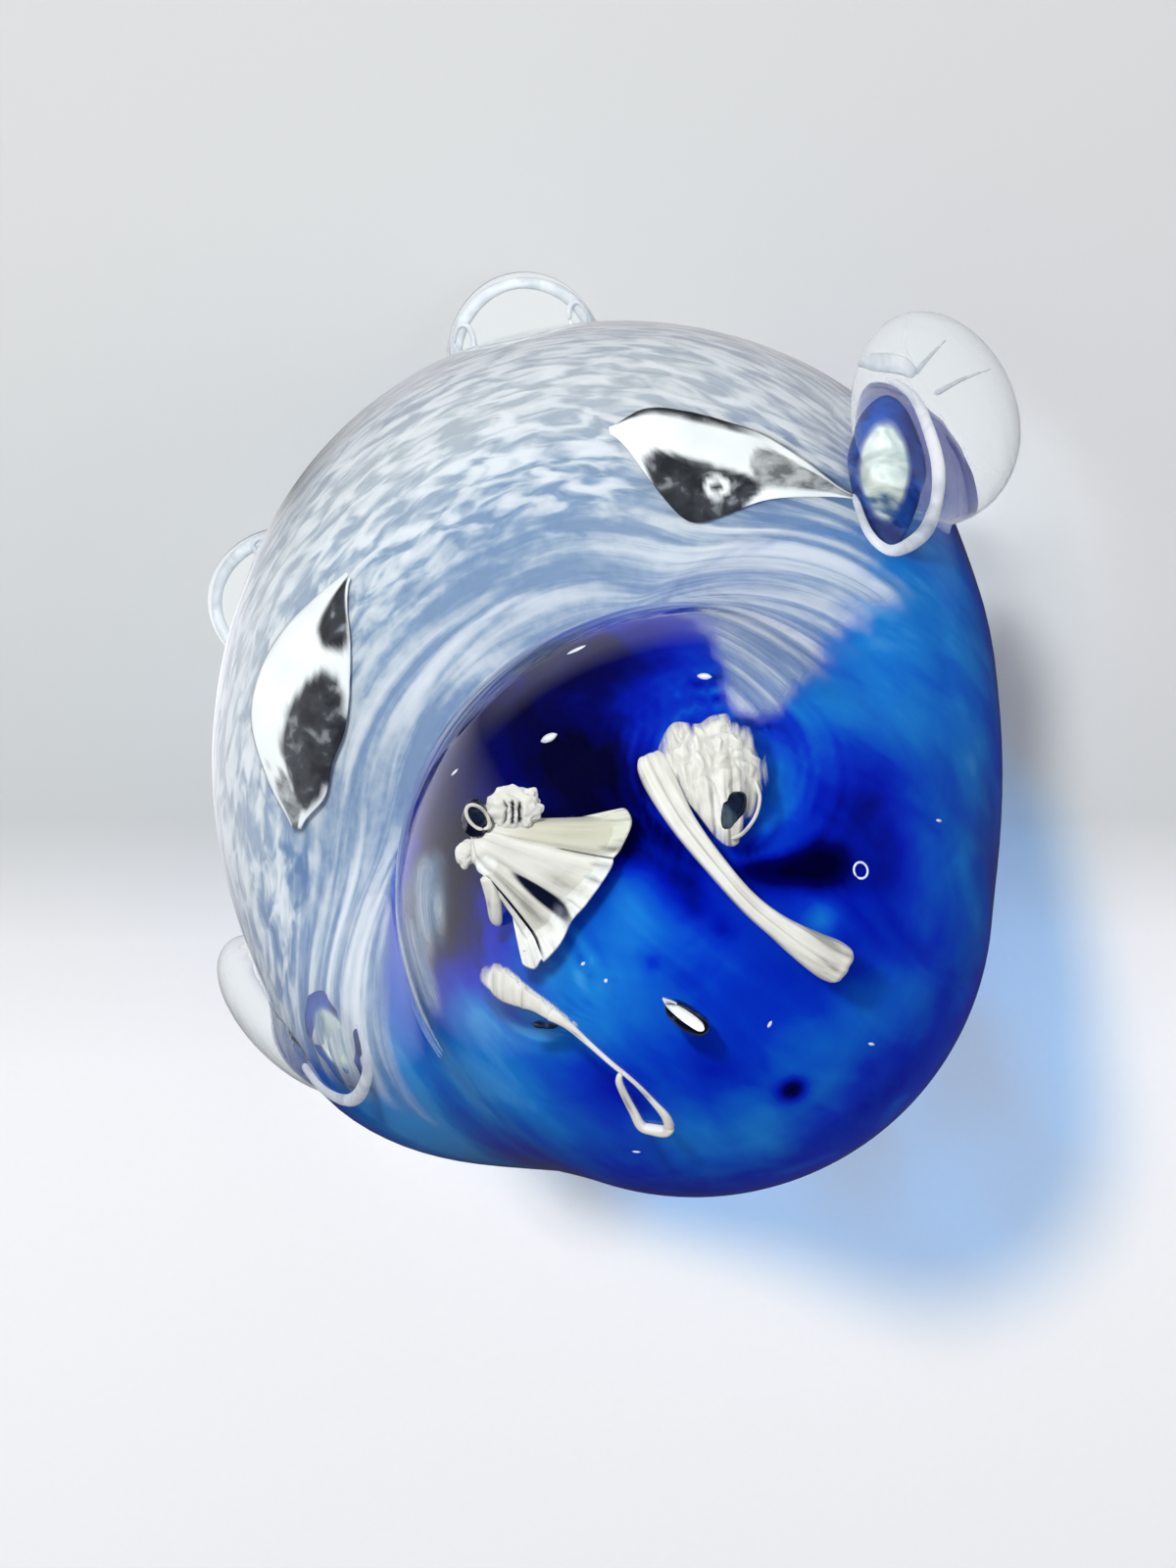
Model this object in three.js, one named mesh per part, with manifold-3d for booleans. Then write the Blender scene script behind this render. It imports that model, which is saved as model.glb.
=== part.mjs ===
import * as THREE from 'three';
import { mergeVertices } from 'three/addons/utils/BufferGeometryUtils.js';
import Module from 'manifold-3d';

// Body outline, sizes in millimetres, heights above the ground base
const BASE_RADIUS = 29;
const BASE_FLARE = 6;
const BASE_EDGE = 5;
const BELLY_RADIUS = 38;
const BELLY_HEIGHT = 34;
const BELLY_SWELL = 20;
const HEAD_RADIUS = 24.5;
const HEAD_HEIGHT = 74;
const NECK_DROP = 14;
const NECK_HEIGHT = HEAD_HEIGHT - NECK_DROP;

// The chin is pinched in at the front, the flanks stand out at the sides, and the nape runs straight down the back
const CHIN = { swell: 0, radius: 20, rise: 24, ease: 2, slope: 0, join: -25, joinEase: 2.5 };
const FLANK = { swell: 2, radius: 36, rise: 12, ease: 9, slope: 29, join: 29, joinEase: 8 };
const NAPE = { swell: -4, radius: 29, rise: 12, ease: 9, slope: 14, join: 16, joinEase: 8 };
const CHIN_SPREAD = 30;
const FLANK_SPREAD = 90;
const NAPE_SPREAD = 145;

// How far the belly sits forward (-Y) and the head back of the axis
const BELLY_LEAN = -1.5;
const HEAD_LEAN = 2.2;

// How far the hand-shaped shoulders sit to the left of the head and the base
const SHOULDER_SWAY = 2.5;
const SWAY_START = 30;
const SWAY_FULL = 52;

// Glass layers from the outside in
const CASING_WALL = 3.5;
const COLOUR_WALL = 1.2;
const FUSE_GAP = 0.3;

// Where the white front meets the blue back and head
const SEAM_Y = -2;
const COLLAR_RISE = 1.5;
const COLLAR_HEIGHT = NECK_HEIGHT + COLLAR_RISE;

// Flippers: centre line ends, measured out from the belly's widest line and back from its middle
const FLIPPER_TOP_IN = 2;
const FLIPPER_TOP_FORWARD = 3;
const FLIPPER_TOP_HEIGHT = 56;
const RIGHT_FLIPPER_TIP_OUT = 14;
const RIGHT_FLIPPER_TIP_BACK = 4;
const LEFT_FLIPPER_TIP_OUT = 7.8;
const LEFT_FLIPPER_TIP_BACK = -1;
const FLIPPER_TIP_HEIGHT = 17;
const FLIPPER_WIDTH = 19;
const FLIPPER_THICKNESS = 10.5;
const FLIPPER_TAPER_SHARE = 0.18;

// Feet: bearing from straight ahead, and how far their middles stand out past the base edge
const FOOT_BEARING = 35;
const FOOT_OUT = 2.6;
const FOOT_WIDTH = 17;
const FOOT_LENGTH = 19;
const FOOT_HEIGHT = 9;
const FOOT_SOLE_CUT = 2;

// Beak, from a root on the head to a tip out in front
const BEAK_ROOT_BEARING = 5;
const BEAK_ROOT_RISE = 52;
const BEAK_TIP_BEARING = 12;
const BEAK_TIP_RISE = 37;
const BEAK_STANDOFF = 5.5;
const BEAK_ROOT_SINK = 2.5;
const BEAK_WIDTH = 12;
const BEAK_DEPTH = 7.5;
const BEAK_TIP_WIDTH = 3.2;
const BEAK_RIBS = 9;
const BEAK_RIB_SHARE = 0.07;

// Eyes
const EYE_BEARING = 43;
const EYE_RISE = 46;
const RIGHT_EYE_WIDTH = 6.8;
const LEFT_EYE_WIDTH = 5.6;
const EYE_HEIGHT = 2.2;

// Trailed brows: the right one passes inside its eye, the left one starts behind its eye
const BROW_CLEARANCE = 0.5;
const RIGHT_BROW_WIDTH = 2.4;
const RIGHT_BROW_FORWARD = 15.5;
const RIGHT_BROW_BACK = 3;
const LEFT_BROW_WIDTH = 1.1;
const LEFT_BROW_INWARD = 2.1;
const LEFT_BROW_BACK = 2.8;
const LEFT_BROW_LOOP_WIDTH = 2.3;
const LEFT_BROW_LOOP_LENGTH = 5.6;

// Facets round the body and along each stretch of its outline
const ROUND = 56;
const STRETCH = 7;
const ROOMY = 120;

const wasm = await Module();
wasm.setup();

function solidOf(geometry) {
  const bare = geometry.clone();
  bare.deleteAttribute('normal');
  bare.deleteAttribute('uv');
  const welded = mergeVertices(bare, 1e-4);
  const mesh = new wasm.Mesh({
    numProp: 3,
    vertProperties: new Float32Array(welded.attributes.position.array),
    triVerts: new Uint32Array(welded.index.array),
  });
  mesh.merge();
  return new wasm.Manifold(mesh);
}

function geometryOf(solid) {
  const mesh = solid.getMesh();
  const geometry = new THREE.BufferGeometry();
  geometry.setAttribute('position', new THREE.BufferAttribute(new Float32Array(mesh.vertProperties), 3));
  geometry.setIndex(new THREE.BufferAttribute(new Uint32Array(mesh.triVerts), 1));
  geometry.computeVertexNormals();
  return geometry;
}

function warp(geometry, move) {
  const place = geometry.attributes.position;
  const point = new THREE.Vector3();
  for (let i = 0; i < place.count; i += 1) {
    point.fromBufferAttribute(place, i);
    move(point);
    place.setXYZ(i, point.x, point.y, point.z);
  }
  return geometry;
}

function lean(height) {
  const share = THREE.MathUtils.smoothstep(height, BELLY_HEIGHT, HEAD_HEIGHT);
  return THREE.MathUtils.lerp(BELLY_LEAN, HEAD_LEAN, share);
}

function sway(height) {
  const rise = THREE.MathUtils.smoothstep(height, SWAY_START, SWAY_FULL);
  const fall = THREE.MathUtils.smoothstep(height, SWAY_FULL, HEAD_HEIGHT);
  return SHOULDER_SWAY * rise * (1 - fall);
}

// One value of a meridian's form, which goes from the chin's over the flank's to the nape's by its bearing
function formValue(key, bearing) {
  const spread = Math.abs(THREE.MathUtils.radToDeg(bearing));
  const aside = THREE.MathUtils.smoothstep(spread, CHIN_SPREAD, FLANK_SPREAD);
  const behind = THREE.MathUtils.smoothstep(spread, FLANK_SPREAD, NAPE_SPREAD);
  const ahead = THREE.MathUtils.lerp(CHIN[key], FLANK[key], aside);
  return THREE.MathUtils.lerp(ahead, NAPE[key], behind);
}

function heading(degrees, length) {
  const turn = THREE.MathUtils.degToRad(degrees);
  return new THREE.Vector2(-length * Math.sin(turn), length * Math.cos(turn));
}

// Outline of one meridian, drawn in by an inset, from the base edge to the crown
function outline(inset, bearing) {
  const blend = (key) => formValue(key, bearing);
  const join = THREE.MathUtils.degToRad(blend('join'));
  const edge = new THREE.Vector2(BASE_RADIUS, 0);
  const flare = new THREE.Vector2(BASE_RADIUS + BASE_FLARE, BASE_EDGE);
  const belly = new THREE.Vector2(BELLY_RADIUS + blend('swell'), BELLY_HEIGHT);
  const under = belly.clone().setY(BELLY_HEIGHT - BELLY_SWELL);
  const over = belly.clone().setY(BELLY_HEIGHT + blend('rise'));
  const neck = new THREE.Vector2(blend('radius'), NECK_HEIGHT);
  const rim = new THREE.Vector2(HEAD_RADIUS * Math.cos(join), HEAD_HEIGHT + HEAD_RADIUS * Math.sin(join));
  const intoNeck = neck.clone().sub(heading(blend('slope'), blend('ease')));
  const outOfNeck = neck.clone().add(heading(blend('slope'), blend('joinEase')));
  const intoRim = rim.clone().sub(heading(blend('join'), blend('joinEase')));
  const stretches = [
    new THREE.CubicBezierCurve(edge, flare, under, belly),
    new THREE.CubicBezierCurve(belly, over, intoNeck, neck),
    new THREE.CubicBezierCurve(neck, outOfNeck, intoRim, rim),
    new THREE.EllipseCurve(0, HEAD_HEIGHT, HEAD_RADIUS, HEAD_RADIUS, join, Math.PI / 2, false),
  ];
  const points = [new THREE.Vector2(BASE_RADIUS - inset, 0)];
  for (const curve of stretches) {
    for (let step = 1; step <= STRETCH; step += 1) {
      const point = curve.getPoint(step / STRETCH);
      const along = curve.getTangent(step / STRETCH);
      points.push(new THREE.Vector2(point.x - inset * along.y, point.y + inset * along.x));
    }
  }
  points[points.length - 1].x = 0;
  return points;
}

// Turns a profile that is given for each bearing, then leans it
function turned(profile) {
  const count = profile(0).length;
  const lathe = new THREE.LatheGeometry(profile(0), ROUND);
  const place = lathe.attributes.position;
  for (let turn = 0; turn <= ROUND; turn += 1) {
    const bearing = Math.PI * (2 * (turn % ROUND) / ROUND - 1);
    profile(bearing).forEach((point, k) => {
      const x = sway(point.y) + point.x * Math.sin(bearing);
      const y = lean(point.y) - point.x * Math.cos(bearing);
      place.setXYZ(turn * count + k, x, y, point.y);
    });
  }
  return solidOf(lathe);
}

// The whole body inside an inset, its base carried down below the ground by a drop
function bodySolid(inset, drop) {
  const base = [new THREE.Vector2(0, -drop), new THREE.Vector2(BASE_RADIUS - inset, -drop)];
  return turned((bearing) => [...base, ...outline(inset, bearing).slice(drop > 0 ? 0 : 1)]);
}

// A layer between two insets, open at the ground base
function layer(outside, inside) {
  return turned((bearing) => [...outline(inside, bearing).reverse(), ...outline(outside, bearing)]);
}

function block(low, high) {
  const size = new THREE.Vector3().subVectors(high, low);
  const box = new THREE.BoxGeometry(size.x, size.y, size.z);
  const centre = new THREE.Vector3().addVectors(low, high).multiplyScalar(0.5);
  box.translate(centre.x, centre.y, centre.z);
  return solidOf(box);
}

// Room of the white front, drawn in by a clearance
function frontRoom(clearance) {
  const low = new THREE.Vector3(-ROOMY, -ROOMY, -ROOMY);
  const high = new THREE.Vector3(ROOMY, SEAM_Y - clearance, COLLAR_HEIGHT - clearance);
  return block(low, high);
}

function onHead(bearing, rise, distance) {
  const turn = THREE.MathUtils.degToRad(bearing);
  const tilt = THREE.MathUtils.degToRad(rise);
  return new THREE.Vector3(
    distance * Math.sin(turn) * Math.cos(tilt),
    HEAD_LEAN - distance * Math.cos(turn) * Math.cos(tilt),
    HEAD_HEIGHT + distance * Math.sin(tilt),
  );
}

// Point on the head's skin above a sideways and a fore-and-aft place
function crownPoint(x, y) {
  const reach = HEAD_RADIUS + FUSE_GAP;
  const flat = x * x + (y - HEAD_LEAN) * (y - HEAD_LEAN);
  return new THREE.Vector3(x, y, HEAD_HEIGHT + Math.sqrt(reach * reach - flat));
}

// Stands a geometry made along +Z on a start point, pointing at an end, its width kept level with a side
function stand(geometry, start, end, side) {
  const along = new THREE.Vector3().subVectors(end, start).normalize();
  const depth = new THREE.Vector3().crossVectors(along, side).normalize();
  const wide = new THREE.Vector3().crossVectors(depth, along);
  const place = new THREE.Matrix4().makeBasis(wide, depth, along).setPosition(start);
  return geometry.applyMatrix4(place);
}

const skin = bodySolid(-FUSE_GAP, FOOT_HEIGHT);
const colourInset = CASING_WALL + FUSE_GAP;
const coreInset = colourInset + COLOUR_WALL + FUSE_GAP;
const colourLayer = layer(colourInset, colourInset + COLOUR_WALL);

// Side 1 is the left half, as made, and side -1 its mirror image on the right
function sided(solid, side) {
  return side < 0 ? solid.mirror([1, 0, 0]) : solid;
}

// Paddle-shaped flipper down one side
function flipper(side) {
  const topY = BELLY_LEAN - FLIPPER_TOP_FORWARD;
  const tipOut = side < 0 ? RIGHT_FLIPPER_TIP_OUT : LEFT_FLIPPER_TIP_OUT;
  const tipBack = side < 0 ? RIGHT_FLIPPER_TIP_BACK : LEFT_FLIPPER_TIP_BACK;
  const top = new THREE.Vector3(BELLY_RADIUS - FLIPPER_TOP_IN, topY, FLIPPER_TOP_HEIGHT);
  const tip = new THREE.Vector3(BELLY_RADIUS + tipOut, BELLY_LEAN + tipBack, FLIPPER_TIP_HEIGHT);
  const length = top.distanceTo(tip);
  const lobe = new THREE.SphereGeometry(0.5, 20, 14);
  lobe.rotateX(Math.PI / 2);
  warp(lobe, (point) => {
    const swell = 1 + 2 * FLIPPER_TAPER_SHARE * point.z;
    point.x *= FLIPPER_WIDTH * swell;
    point.y *= FLIPPER_THICKNESS * swell;
    point.z = (point.z + 0.5) * length;
  });
  stand(lobe, top, tip, new THREE.Vector3(0, 1, 0));
  const shift = sway(FLIPPER_TOP_HEIGHT - length / 3);
  return sided(solidOf(lobe), side).translate([shift, 0, 0]).subtract(skin);
}

// Foot on one side, ground flat with the base
function foot(side) {
  const lobe = new THREE.SphereGeometry(0.5, 20, 14);
  lobe.scale(FOOT_WIDTH, FOOT_LENGTH, FOOT_HEIGHT);
  lobe.translate(0, -BASE_RADIUS - FOOT_OUT, FOOT_HEIGHT / 2 - FOOT_SOLE_CUT);
  lobe.rotateZ(THREE.MathUtils.degToRad(FOOT_BEARING));
  lobe.translate(0, BELLY_LEAN, 0);
  const above = block(new THREE.Vector3(-ROOMY, -ROOMY, 0), new THREE.Vector3(ROOMY, ROOMY, ROOMY));
  return sided(solidOf(lobe), side).intersect(above).subtract(skin);
}

// Crimped beak: a ribbed, flattened cone with a round tip
function beak() {
  const root = onHead(BEAK_ROOT_BEARING, BEAK_ROOT_RISE, HEAD_RADIUS - BEAK_ROOT_SINK);
  const tip = onHead(BEAK_TIP_BEARING, BEAK_TIP_RISE, HEAD_RADIUS + BEAK_STANDOFF);
  const length = root.distanceTo(tip);
  const round = BEAK_TIP_WIDTH / 2;
  const side = new THREE.Path();
  side.moveTo(0, 0);
  side.lineTo(BEAK_WIDTH / 2, 0);
  side.quadraticCurveTo(BEAK_WIDTH / 2, length / 2, round, length - round);
  side.absarc(0, length - round, round, 0, Math.PI / 2, false);
  const points = side.getPoints(STRETCH);
  points[points.length - 1].x = 0;
  const cone = new THREE.LatheGeometry(points, BEAK_RIBS * 4);
  cone.rotateX(Math.PI / 2);
  warp(cone, (point) => {
    const crimp = 1 + BEAK_RIB_SHARE * Math.cos(BEAK_RIBS * Math.atan2(point.y, point.x));
    point.x *= crimp;
    point.y *= crimp * BEAK_DEPTH / BEAK_WIDTH;
  });
  stand(cone, root, tip, new THREE.Vector3(1, 0, 0));
  return solidOf(cone).subtract(skin);
}

// Bead pressed onto the head
function eye(bearing, width) {
  const seat = onHead(bearing, EYE_RISE, HEAD_RADIUS);
  const out = onHead(bearing, EYE_RISE, HEAD_RADIUS + width);
  const bead = new THREE.SphereGeometry(0.5, 18, 12);
  bead.rotateX(Math.PI / 2);
  bead.scale(width, width, 2 * EYE_HEIGHT);
  stand(bead, seat, out, new THREE.Vector3(1, 0, 0));
  return solidOf(bead).subtract(skin);
}

// Thread laid over the head along a row of points
function trail(points, width) {
  const line = new THREE.CatmullRomCurve3(points);
  const round = new THREE.Shape();
  round.absarc(0, 0, width / 2, 0, 2 * Math.PI, false);
  const thread = new THREE.ExtrudeGeometry(round, { extrudePath: line, steps: 32, curveSegments: 6 });
  return solidOf(thread).subtract(skin);
}

function rightBrow() {
  const seat = onHead(-EYE_BEARING, EYE_RISE, HEAD_RADIUS);
  const x = seat.x + RIGHT_EYE_WIDTH / 2 + BROW_CLEARANCE + RIGHT_BROW_WIDTH / 2;
  const front = HEAD_LEAN - RIGHT_BROW_FORWARD;
  const back = HEAD_LEAN + RIGHT_BROW_BACK;
  const points = [front, (front + back) / 2, back].map((y) => crownPoint(x, y));
  return trail(points, RIGHT_BROW_WIDTH);
}

function leftBrow() {
  const seat = onHead(EYE_BEARING, EYE_RISE, HEAD_RADIUS);
  const x = seat.x - LEFT_BROW_INWARD;
  const front = seat.y + LEFT_EYE_WIDTH / 2 + BROW_CLEARANCE;
  const back = HEAD_LEAN + LEFT_BROW_BACK;
  const turn = back - LEFT_BROW_LOOP_WIDTH / 2;
  const foot = back - LEFT_BROW_LOOP_LENGTH;
  const points = [
    crownPoint(x, front),
    crownPoint(x, (front + turn) / 2),
    crownPoint(x, turn),
    crownPoint(x + LEFT_BROW_LOOP_WIDTH / 2, back),
    crownPoint(x + LEFT_BROW_LOOP_WIDTH, turn),
    crownPoint(x + LEFT_BROW_WIDTH + BROW_CLEARANCE, foot),
  ];
  return trail(points, LEFT_BROW_WIDTH);
}

const clear = new THREE.MeshStandardMaterial({ color: 0xe9eef0, roughness: 0.04, metalness: 0 });
const blue = new THREE.MeshStandardMaterial({ color: 0x0b2fa8, roughness: 0.1, metalness: 0 });
const white = new THREE.MeshStandardMaterial({ color: 0xe8ebee, roughness: 0.25, metalness: 0 });
const ivory = new THREE.MeshStandardMaterial({ color: 0xdedcd0, roughness: 0.3, metalness: 0 });

const pieces = [
  ['clear_core', bodySolid(coreInset, 0), clear],
  ['blue_overlay', colourLayer.subtract(frontRoom(0)), blue],
  ['white_overlay', colourLayer.intersect(frontRoom(FUSE_GAP)), white],
  ['clear_casing', layer(0, CASING_WALL), clear],
  ['right_flipper', flipper(-1), clear],
  ['left_flipper', flipper(1), clear],
  ['right_foot', foot(-1), clear],
  ['left_foot', foot(1), clear],
  ['beak', beak(), ivory],
  ['right_eye', eye(-EYE_BEARING, RIGHT_EYE_WIDTH), ivory],
  ['left_eye', eye(EYE_BEARING, LEFT_EYE_WIDTH), ivory],
  ['right_brow', rightBrow(), ivory],
  ['left_brow', leftBrow(), ivory],
];

// Origin at the middle of the footprint, on the ground base
const penguin = new THREE.Group();
penguin.name = 'glass_penguin';
for (const [name, solid, material] of pieces) {
  const mesh = new THREE.Mesh(geometryOf(solid), material);
  mesh.name = name;
  penguin.add(mesh);
}
const middle = new THREE.Box3().setFromObject(penguin).getCenter(new THREE.Vector3());
penguin.children.forEach((mesh) => mesh.geometry.translate(-middle.x, -middle.y, 0));

export default penguin;
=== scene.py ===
from math import atan2, cos, degrees, exp, hypot, pi, radians, sin, sqrt

import bmesh
import bpy
from mathutils import Matrix, Vector, noise
from mathutils.bvhtree import BVHTree


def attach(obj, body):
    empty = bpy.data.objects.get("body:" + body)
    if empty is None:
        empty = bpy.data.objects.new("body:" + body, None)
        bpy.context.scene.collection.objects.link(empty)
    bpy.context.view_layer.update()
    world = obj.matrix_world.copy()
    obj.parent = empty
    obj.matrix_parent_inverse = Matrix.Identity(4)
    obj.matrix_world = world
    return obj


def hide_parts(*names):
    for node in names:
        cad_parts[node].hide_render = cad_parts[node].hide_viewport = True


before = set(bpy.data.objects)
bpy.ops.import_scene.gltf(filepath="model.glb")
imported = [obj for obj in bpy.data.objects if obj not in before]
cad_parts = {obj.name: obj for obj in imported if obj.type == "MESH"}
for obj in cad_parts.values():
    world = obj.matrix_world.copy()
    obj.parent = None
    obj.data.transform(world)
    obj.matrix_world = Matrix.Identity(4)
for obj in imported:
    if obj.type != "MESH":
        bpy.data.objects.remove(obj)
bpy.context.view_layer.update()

scene = bpy.context.scene
MM = 0.001
# Fixes what noise_vector gives, so that each run is the same
NOISE_SEED = 7
noise.seed_set(NOISE_SEED)

# Body outline in millimetres, as in the solids
BASE_RADIUS = 29
BASE_FLARE = 6
BASE_EDGE = 5
BELLY_RADIUS = 38
BELLY_HEIGHT = 34
BELLY_SWELL = 20
NECK_HEIGHT = 60
HEAD_RADIUS = 24.5
HEAD_HEIGHT = 74
# Each side's belly swell, neck radius, rise, ease and slope, and the angle and ease where it joins the head
CHIN = (0, 20, 24, 2, 0, -25, 2.5)
FLANK = (2, 36, 12, 9, 29, 29, 8)
NAPE = (-4, 29, 12, 9, 14, 16, 8)
CHIN_SPREAD = 30
FLANK_SPREAD = 90
NAPE_SPREAD = 145
BELLY_LEAN = -1.5
HEAD_LEAN = 2.2
SHOULDER_SWAY = 2.5
SWAY_START = 30
SWAY_FULL = 52

# The body's axis in the measured places used below, and the move from those places to the frame
AXIS = Vector((-1.45, 1.454, 0))
SHIFT = Vector((2.6653, 2.0168, 0))
HEAD = AXIS + Vector((0, HEAD_LEAN, HEAD_HEIGHT))

# Glass layers, as depths under the skin
SKIN_DEPTH = 0.02
FUSE_DEPTH = 0.2
WHITE_DEPTH = 2.4
BLUE_DEPTH = 3.4
LAYER_WALL = 0.5

# How finely the body and its layers are drawn
BODY_COLUMNS = 160
LAYER_COLUMNS = 220
LAYER_FINENESS = 1.3
LOW_STEPS, MID_STEPS, JAW_STEPS, DOME_STEPS = 24, 30, 14, 40
WELD = 1e-6


def smooth_step(low, high, value):
    t = min(1, max(0, (value - low) / (high - low)))
    return t * t * (3 - 2 * t)


def lerp(a, b, t):
    return a + (b - a) * t


def bell(value, centre, width):
    return exp(-((value - centre) / width) ** 2)


def oval(x, y, centre_x, reach_x, centre_y, reach_y):
    """How far out a place lies in an oval, 1 at its edge."""
    return hypot((x - centre_x) / reach_x, (y - centre_y) / reach_y)


def circle(steps, start=0):
    """Angles once round, with the first one again at the end."""
    return [2 * pi * k / steps + start for k in range(steps + 1)]


def bearings(count):
    """Angles once round, from straight behind."""
    return [pi * (2 * k / count - 1) for k in range(count)]


def lean(z):
    return lerp(BELLY_LEAN, HEAD_LEAN, smooth_step(BELLY_HEIGHT, HEAD_HEIGHT, z))


def sway(z):
    return SHOULDER_SWAY * smooth_step(SWAY_START, SWAY_FULL, z) * (1 - smooth_step(SWAY_FULL, HEAD_HEIGHT, z))


def heading(angle, length):
    """A step at an angle in degrees from straight up, to the axis."""
    turn = radians(angle)
    return Vector((-length * sin(turn), length * cos(turn)))


def bezier(points, t):
    """Place and direction on a cubic stretch."""
    a, b, c, d = points
    s = 1 - t
    place = a * s ** 3 + b * (3 * s * s * t) + c * (3 * s * t * t) + d * t ** 3
    along = (b - a) * (s * s) + (c - b) * (2 * s * t) + (d - c) * (t * t)
    return place, along.normalized()


def outline(inset, bearing, fine=1):
    """Radius and height of one meridian, base edge to crown, drawn in by an inset."""
    spread = abs(degrees(bearing))
    aside = smooth_step(CHIN_SPREAD, FLANK_SPREAD, spread)
    behind = smooth_step(FLANK_SPREAD, NAPE_SPREAD, spread)
    swell, radius, rise, ease, slope, angle, join_ease = (
        lerp(lerp(chin, flank, aside), nape, behind) for chin, flank, nape in zip(CHIN, FLANK, NAPE))
    meet = radians(angle)
    edge = Vector((BASE_RADIUS, 0))
    belly = Vector((BELLY_RADIUS + swell, BELLY_HEIGHT))
    neck = Vector((radius, NECK_HEIGHT))
    rim = Vector((HEAD_RADIUS * cos(meet), HEAD_HEIGHT + HEAD_RADIUS * sin(meet)))
    low = (edge, Vector((BASE_RADIUS + BASE_FLARE, BASE_EDGE)), belly - Vector((0, BELLY_SWELL)), belly)
    mid = (belly, belly + Vector((0, rise)), neck - heading(slope, ease), neck)
    jaw = (neck, neck + heading(slope, join_ease), rim - heading(angle, join_ease), rim)
    points = [Vector((BASE_RADIUS - inset, 0))]
    for stretch, count in ((low, LOW_STEPS), (mid, MID_STEPS), (jaw, JAW_STEPS)):
        steps = int(count * fine)
        for k in range(1, steps + 1):
            place, along = bezier(stretch, k / steps)
            points.append(Vector((place.x - inset * along.y, place.y + inset * along.x)))
    steps = int(DOME_STEPS * fine)
    reach = HEAD_RADIUS - inset
    for k in range(1, steps + 1):
        a = lerp(meet, pi / 2, k / steps)
        points.append(Vector((reach * cos(a), HEAD_HEIGHT + reach * sin(a))))
    points[-1].x = 0
    return points


def spot(radius, z, bearing):
    """A point at a radius, height and bearing: 0 is the front, positive the penguin's left."""
    return AXIS + Vector((sway(z) + radius * sin(bearing), lean(z) - radius * cos(bearing), z))


def head_spot(x, y, lift=0):
    """A point over a place on the crown, lifted off the head's skin."""
    flat = Vector((x - HEAD.x, y - HEAD.y, 0))
    out = Vector((flat.x, flat.y, sqrt(HEAD_RADIUS ** 2 - flat.length_squared)))
    return HEAD + out * ((HEAD_RADIUS + lift) / HEAD_RADIUS)


def shoulder_spot(bearing, z, inset):
    """A point on the body below the neck, found by its height."""
    points = outline(inset, bearing)
    for a, b in zip(points, points[1:]):
        if a.y <= z <= b.y:
            return spot(lerp(a.x, b.x, (z - a.y) / (b.y - a.y)), z, bearing)
    return spot(points[-1].x, points[-1].y, bearing)


def flow(points, count):
    """Smooth run of points through a few given ones, all of the same size."""
    made = []
    last = len(points) - 1
    for k in range(count):
        s = last * k / (count - 1)
        i = min(int(s), last - 1)
        t = s - i
        p = [points[min(max(i + d, 0), last)] for d in (-1, 0, 1, 2)]
        made.append(tuple(
            0.5 * (2 * b + (c - a) * t + (2 * a - 5 * b + 4 * c - d) * t * t + (3 * b - a - 3 * c + d) * t ** 3)
            for a, b, c, d in zip(*p)))
    return made


def mesh_object(name, bm):
    """A smooth object in the scene, with its faces turned outward."""
    bmesh.ops.recalc_face_normals(bm, faces=bm.faces)
    mesh = bpy.data.meshes.new(name)
    bm.to_mesh(mesh)
    bm.free()
    mesh.shade_smooth()
    piece = bpy.data.objects.new(name, mesh)
    scene.collection.objects.link(piece)
    return piece


def mark_layers(bm, keys):
    return {key: bm.verts.layers.float.new(key) for key in keys}


def put(bm, layers, point, marks):
    """A new point, given in millimetres, with float marks on it."""
    vert = bm.verts.new(point * MM)
    for key, value in marks.items():
        vert[layers[key]] = value
    return vert


def dome_faces(bm, columns, crown, base=None):
    """Faces between columns that stand in a ring under a crown."""
    for a, b in zip(columns, columns[1:] + columns[:1]):
        if base is not None:
            bm.faces.new((base, b[0], a[0]))
        bm.faces.new((a[-1], b[-1], crown))
        for j in range(len(a) - 1):
            bm.faces.new((a[j], b[j], b[j + 1], a[j + 1]))


def sleeve(name, bm, rings):
    """Closed piece from rings of points in a row."""
    for a, b in zip(rings, rings[1:]):
        for j in range(len(a)):
            m = (j + 1) % len(a)
            bm.faces.new((a[j], a[m], b[m], b[j]))
    bm.faces.new(rings[0])
    bm.faces.new(rings[-1])
    return mesh_object(name, bm)


def turned(inset, drop=0):
    """Closed body inside an inset, its base carried below the ground by a drop."""
    bm = bmesh.new()
    columns = []
    for bearing in bearings(BODY_COLUMNS):
        points = outline(inset, bearing)[:-1]
        if drop:
            points.insert(0, Vector((points[0].x, -drop)))
        columns.append([bm.verts.new(spot(p.x, p.y, bearing) * MM) for p in points])
    crown = bm.verts.new(spot(0, HEAD_HEIGHT + HEAD_RADIUS - inset, 0) * MM)
    dome_faces(bm, columns, crown, bm.verts.new(spot(0, -drop, 0) * MM))
    return bm


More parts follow.
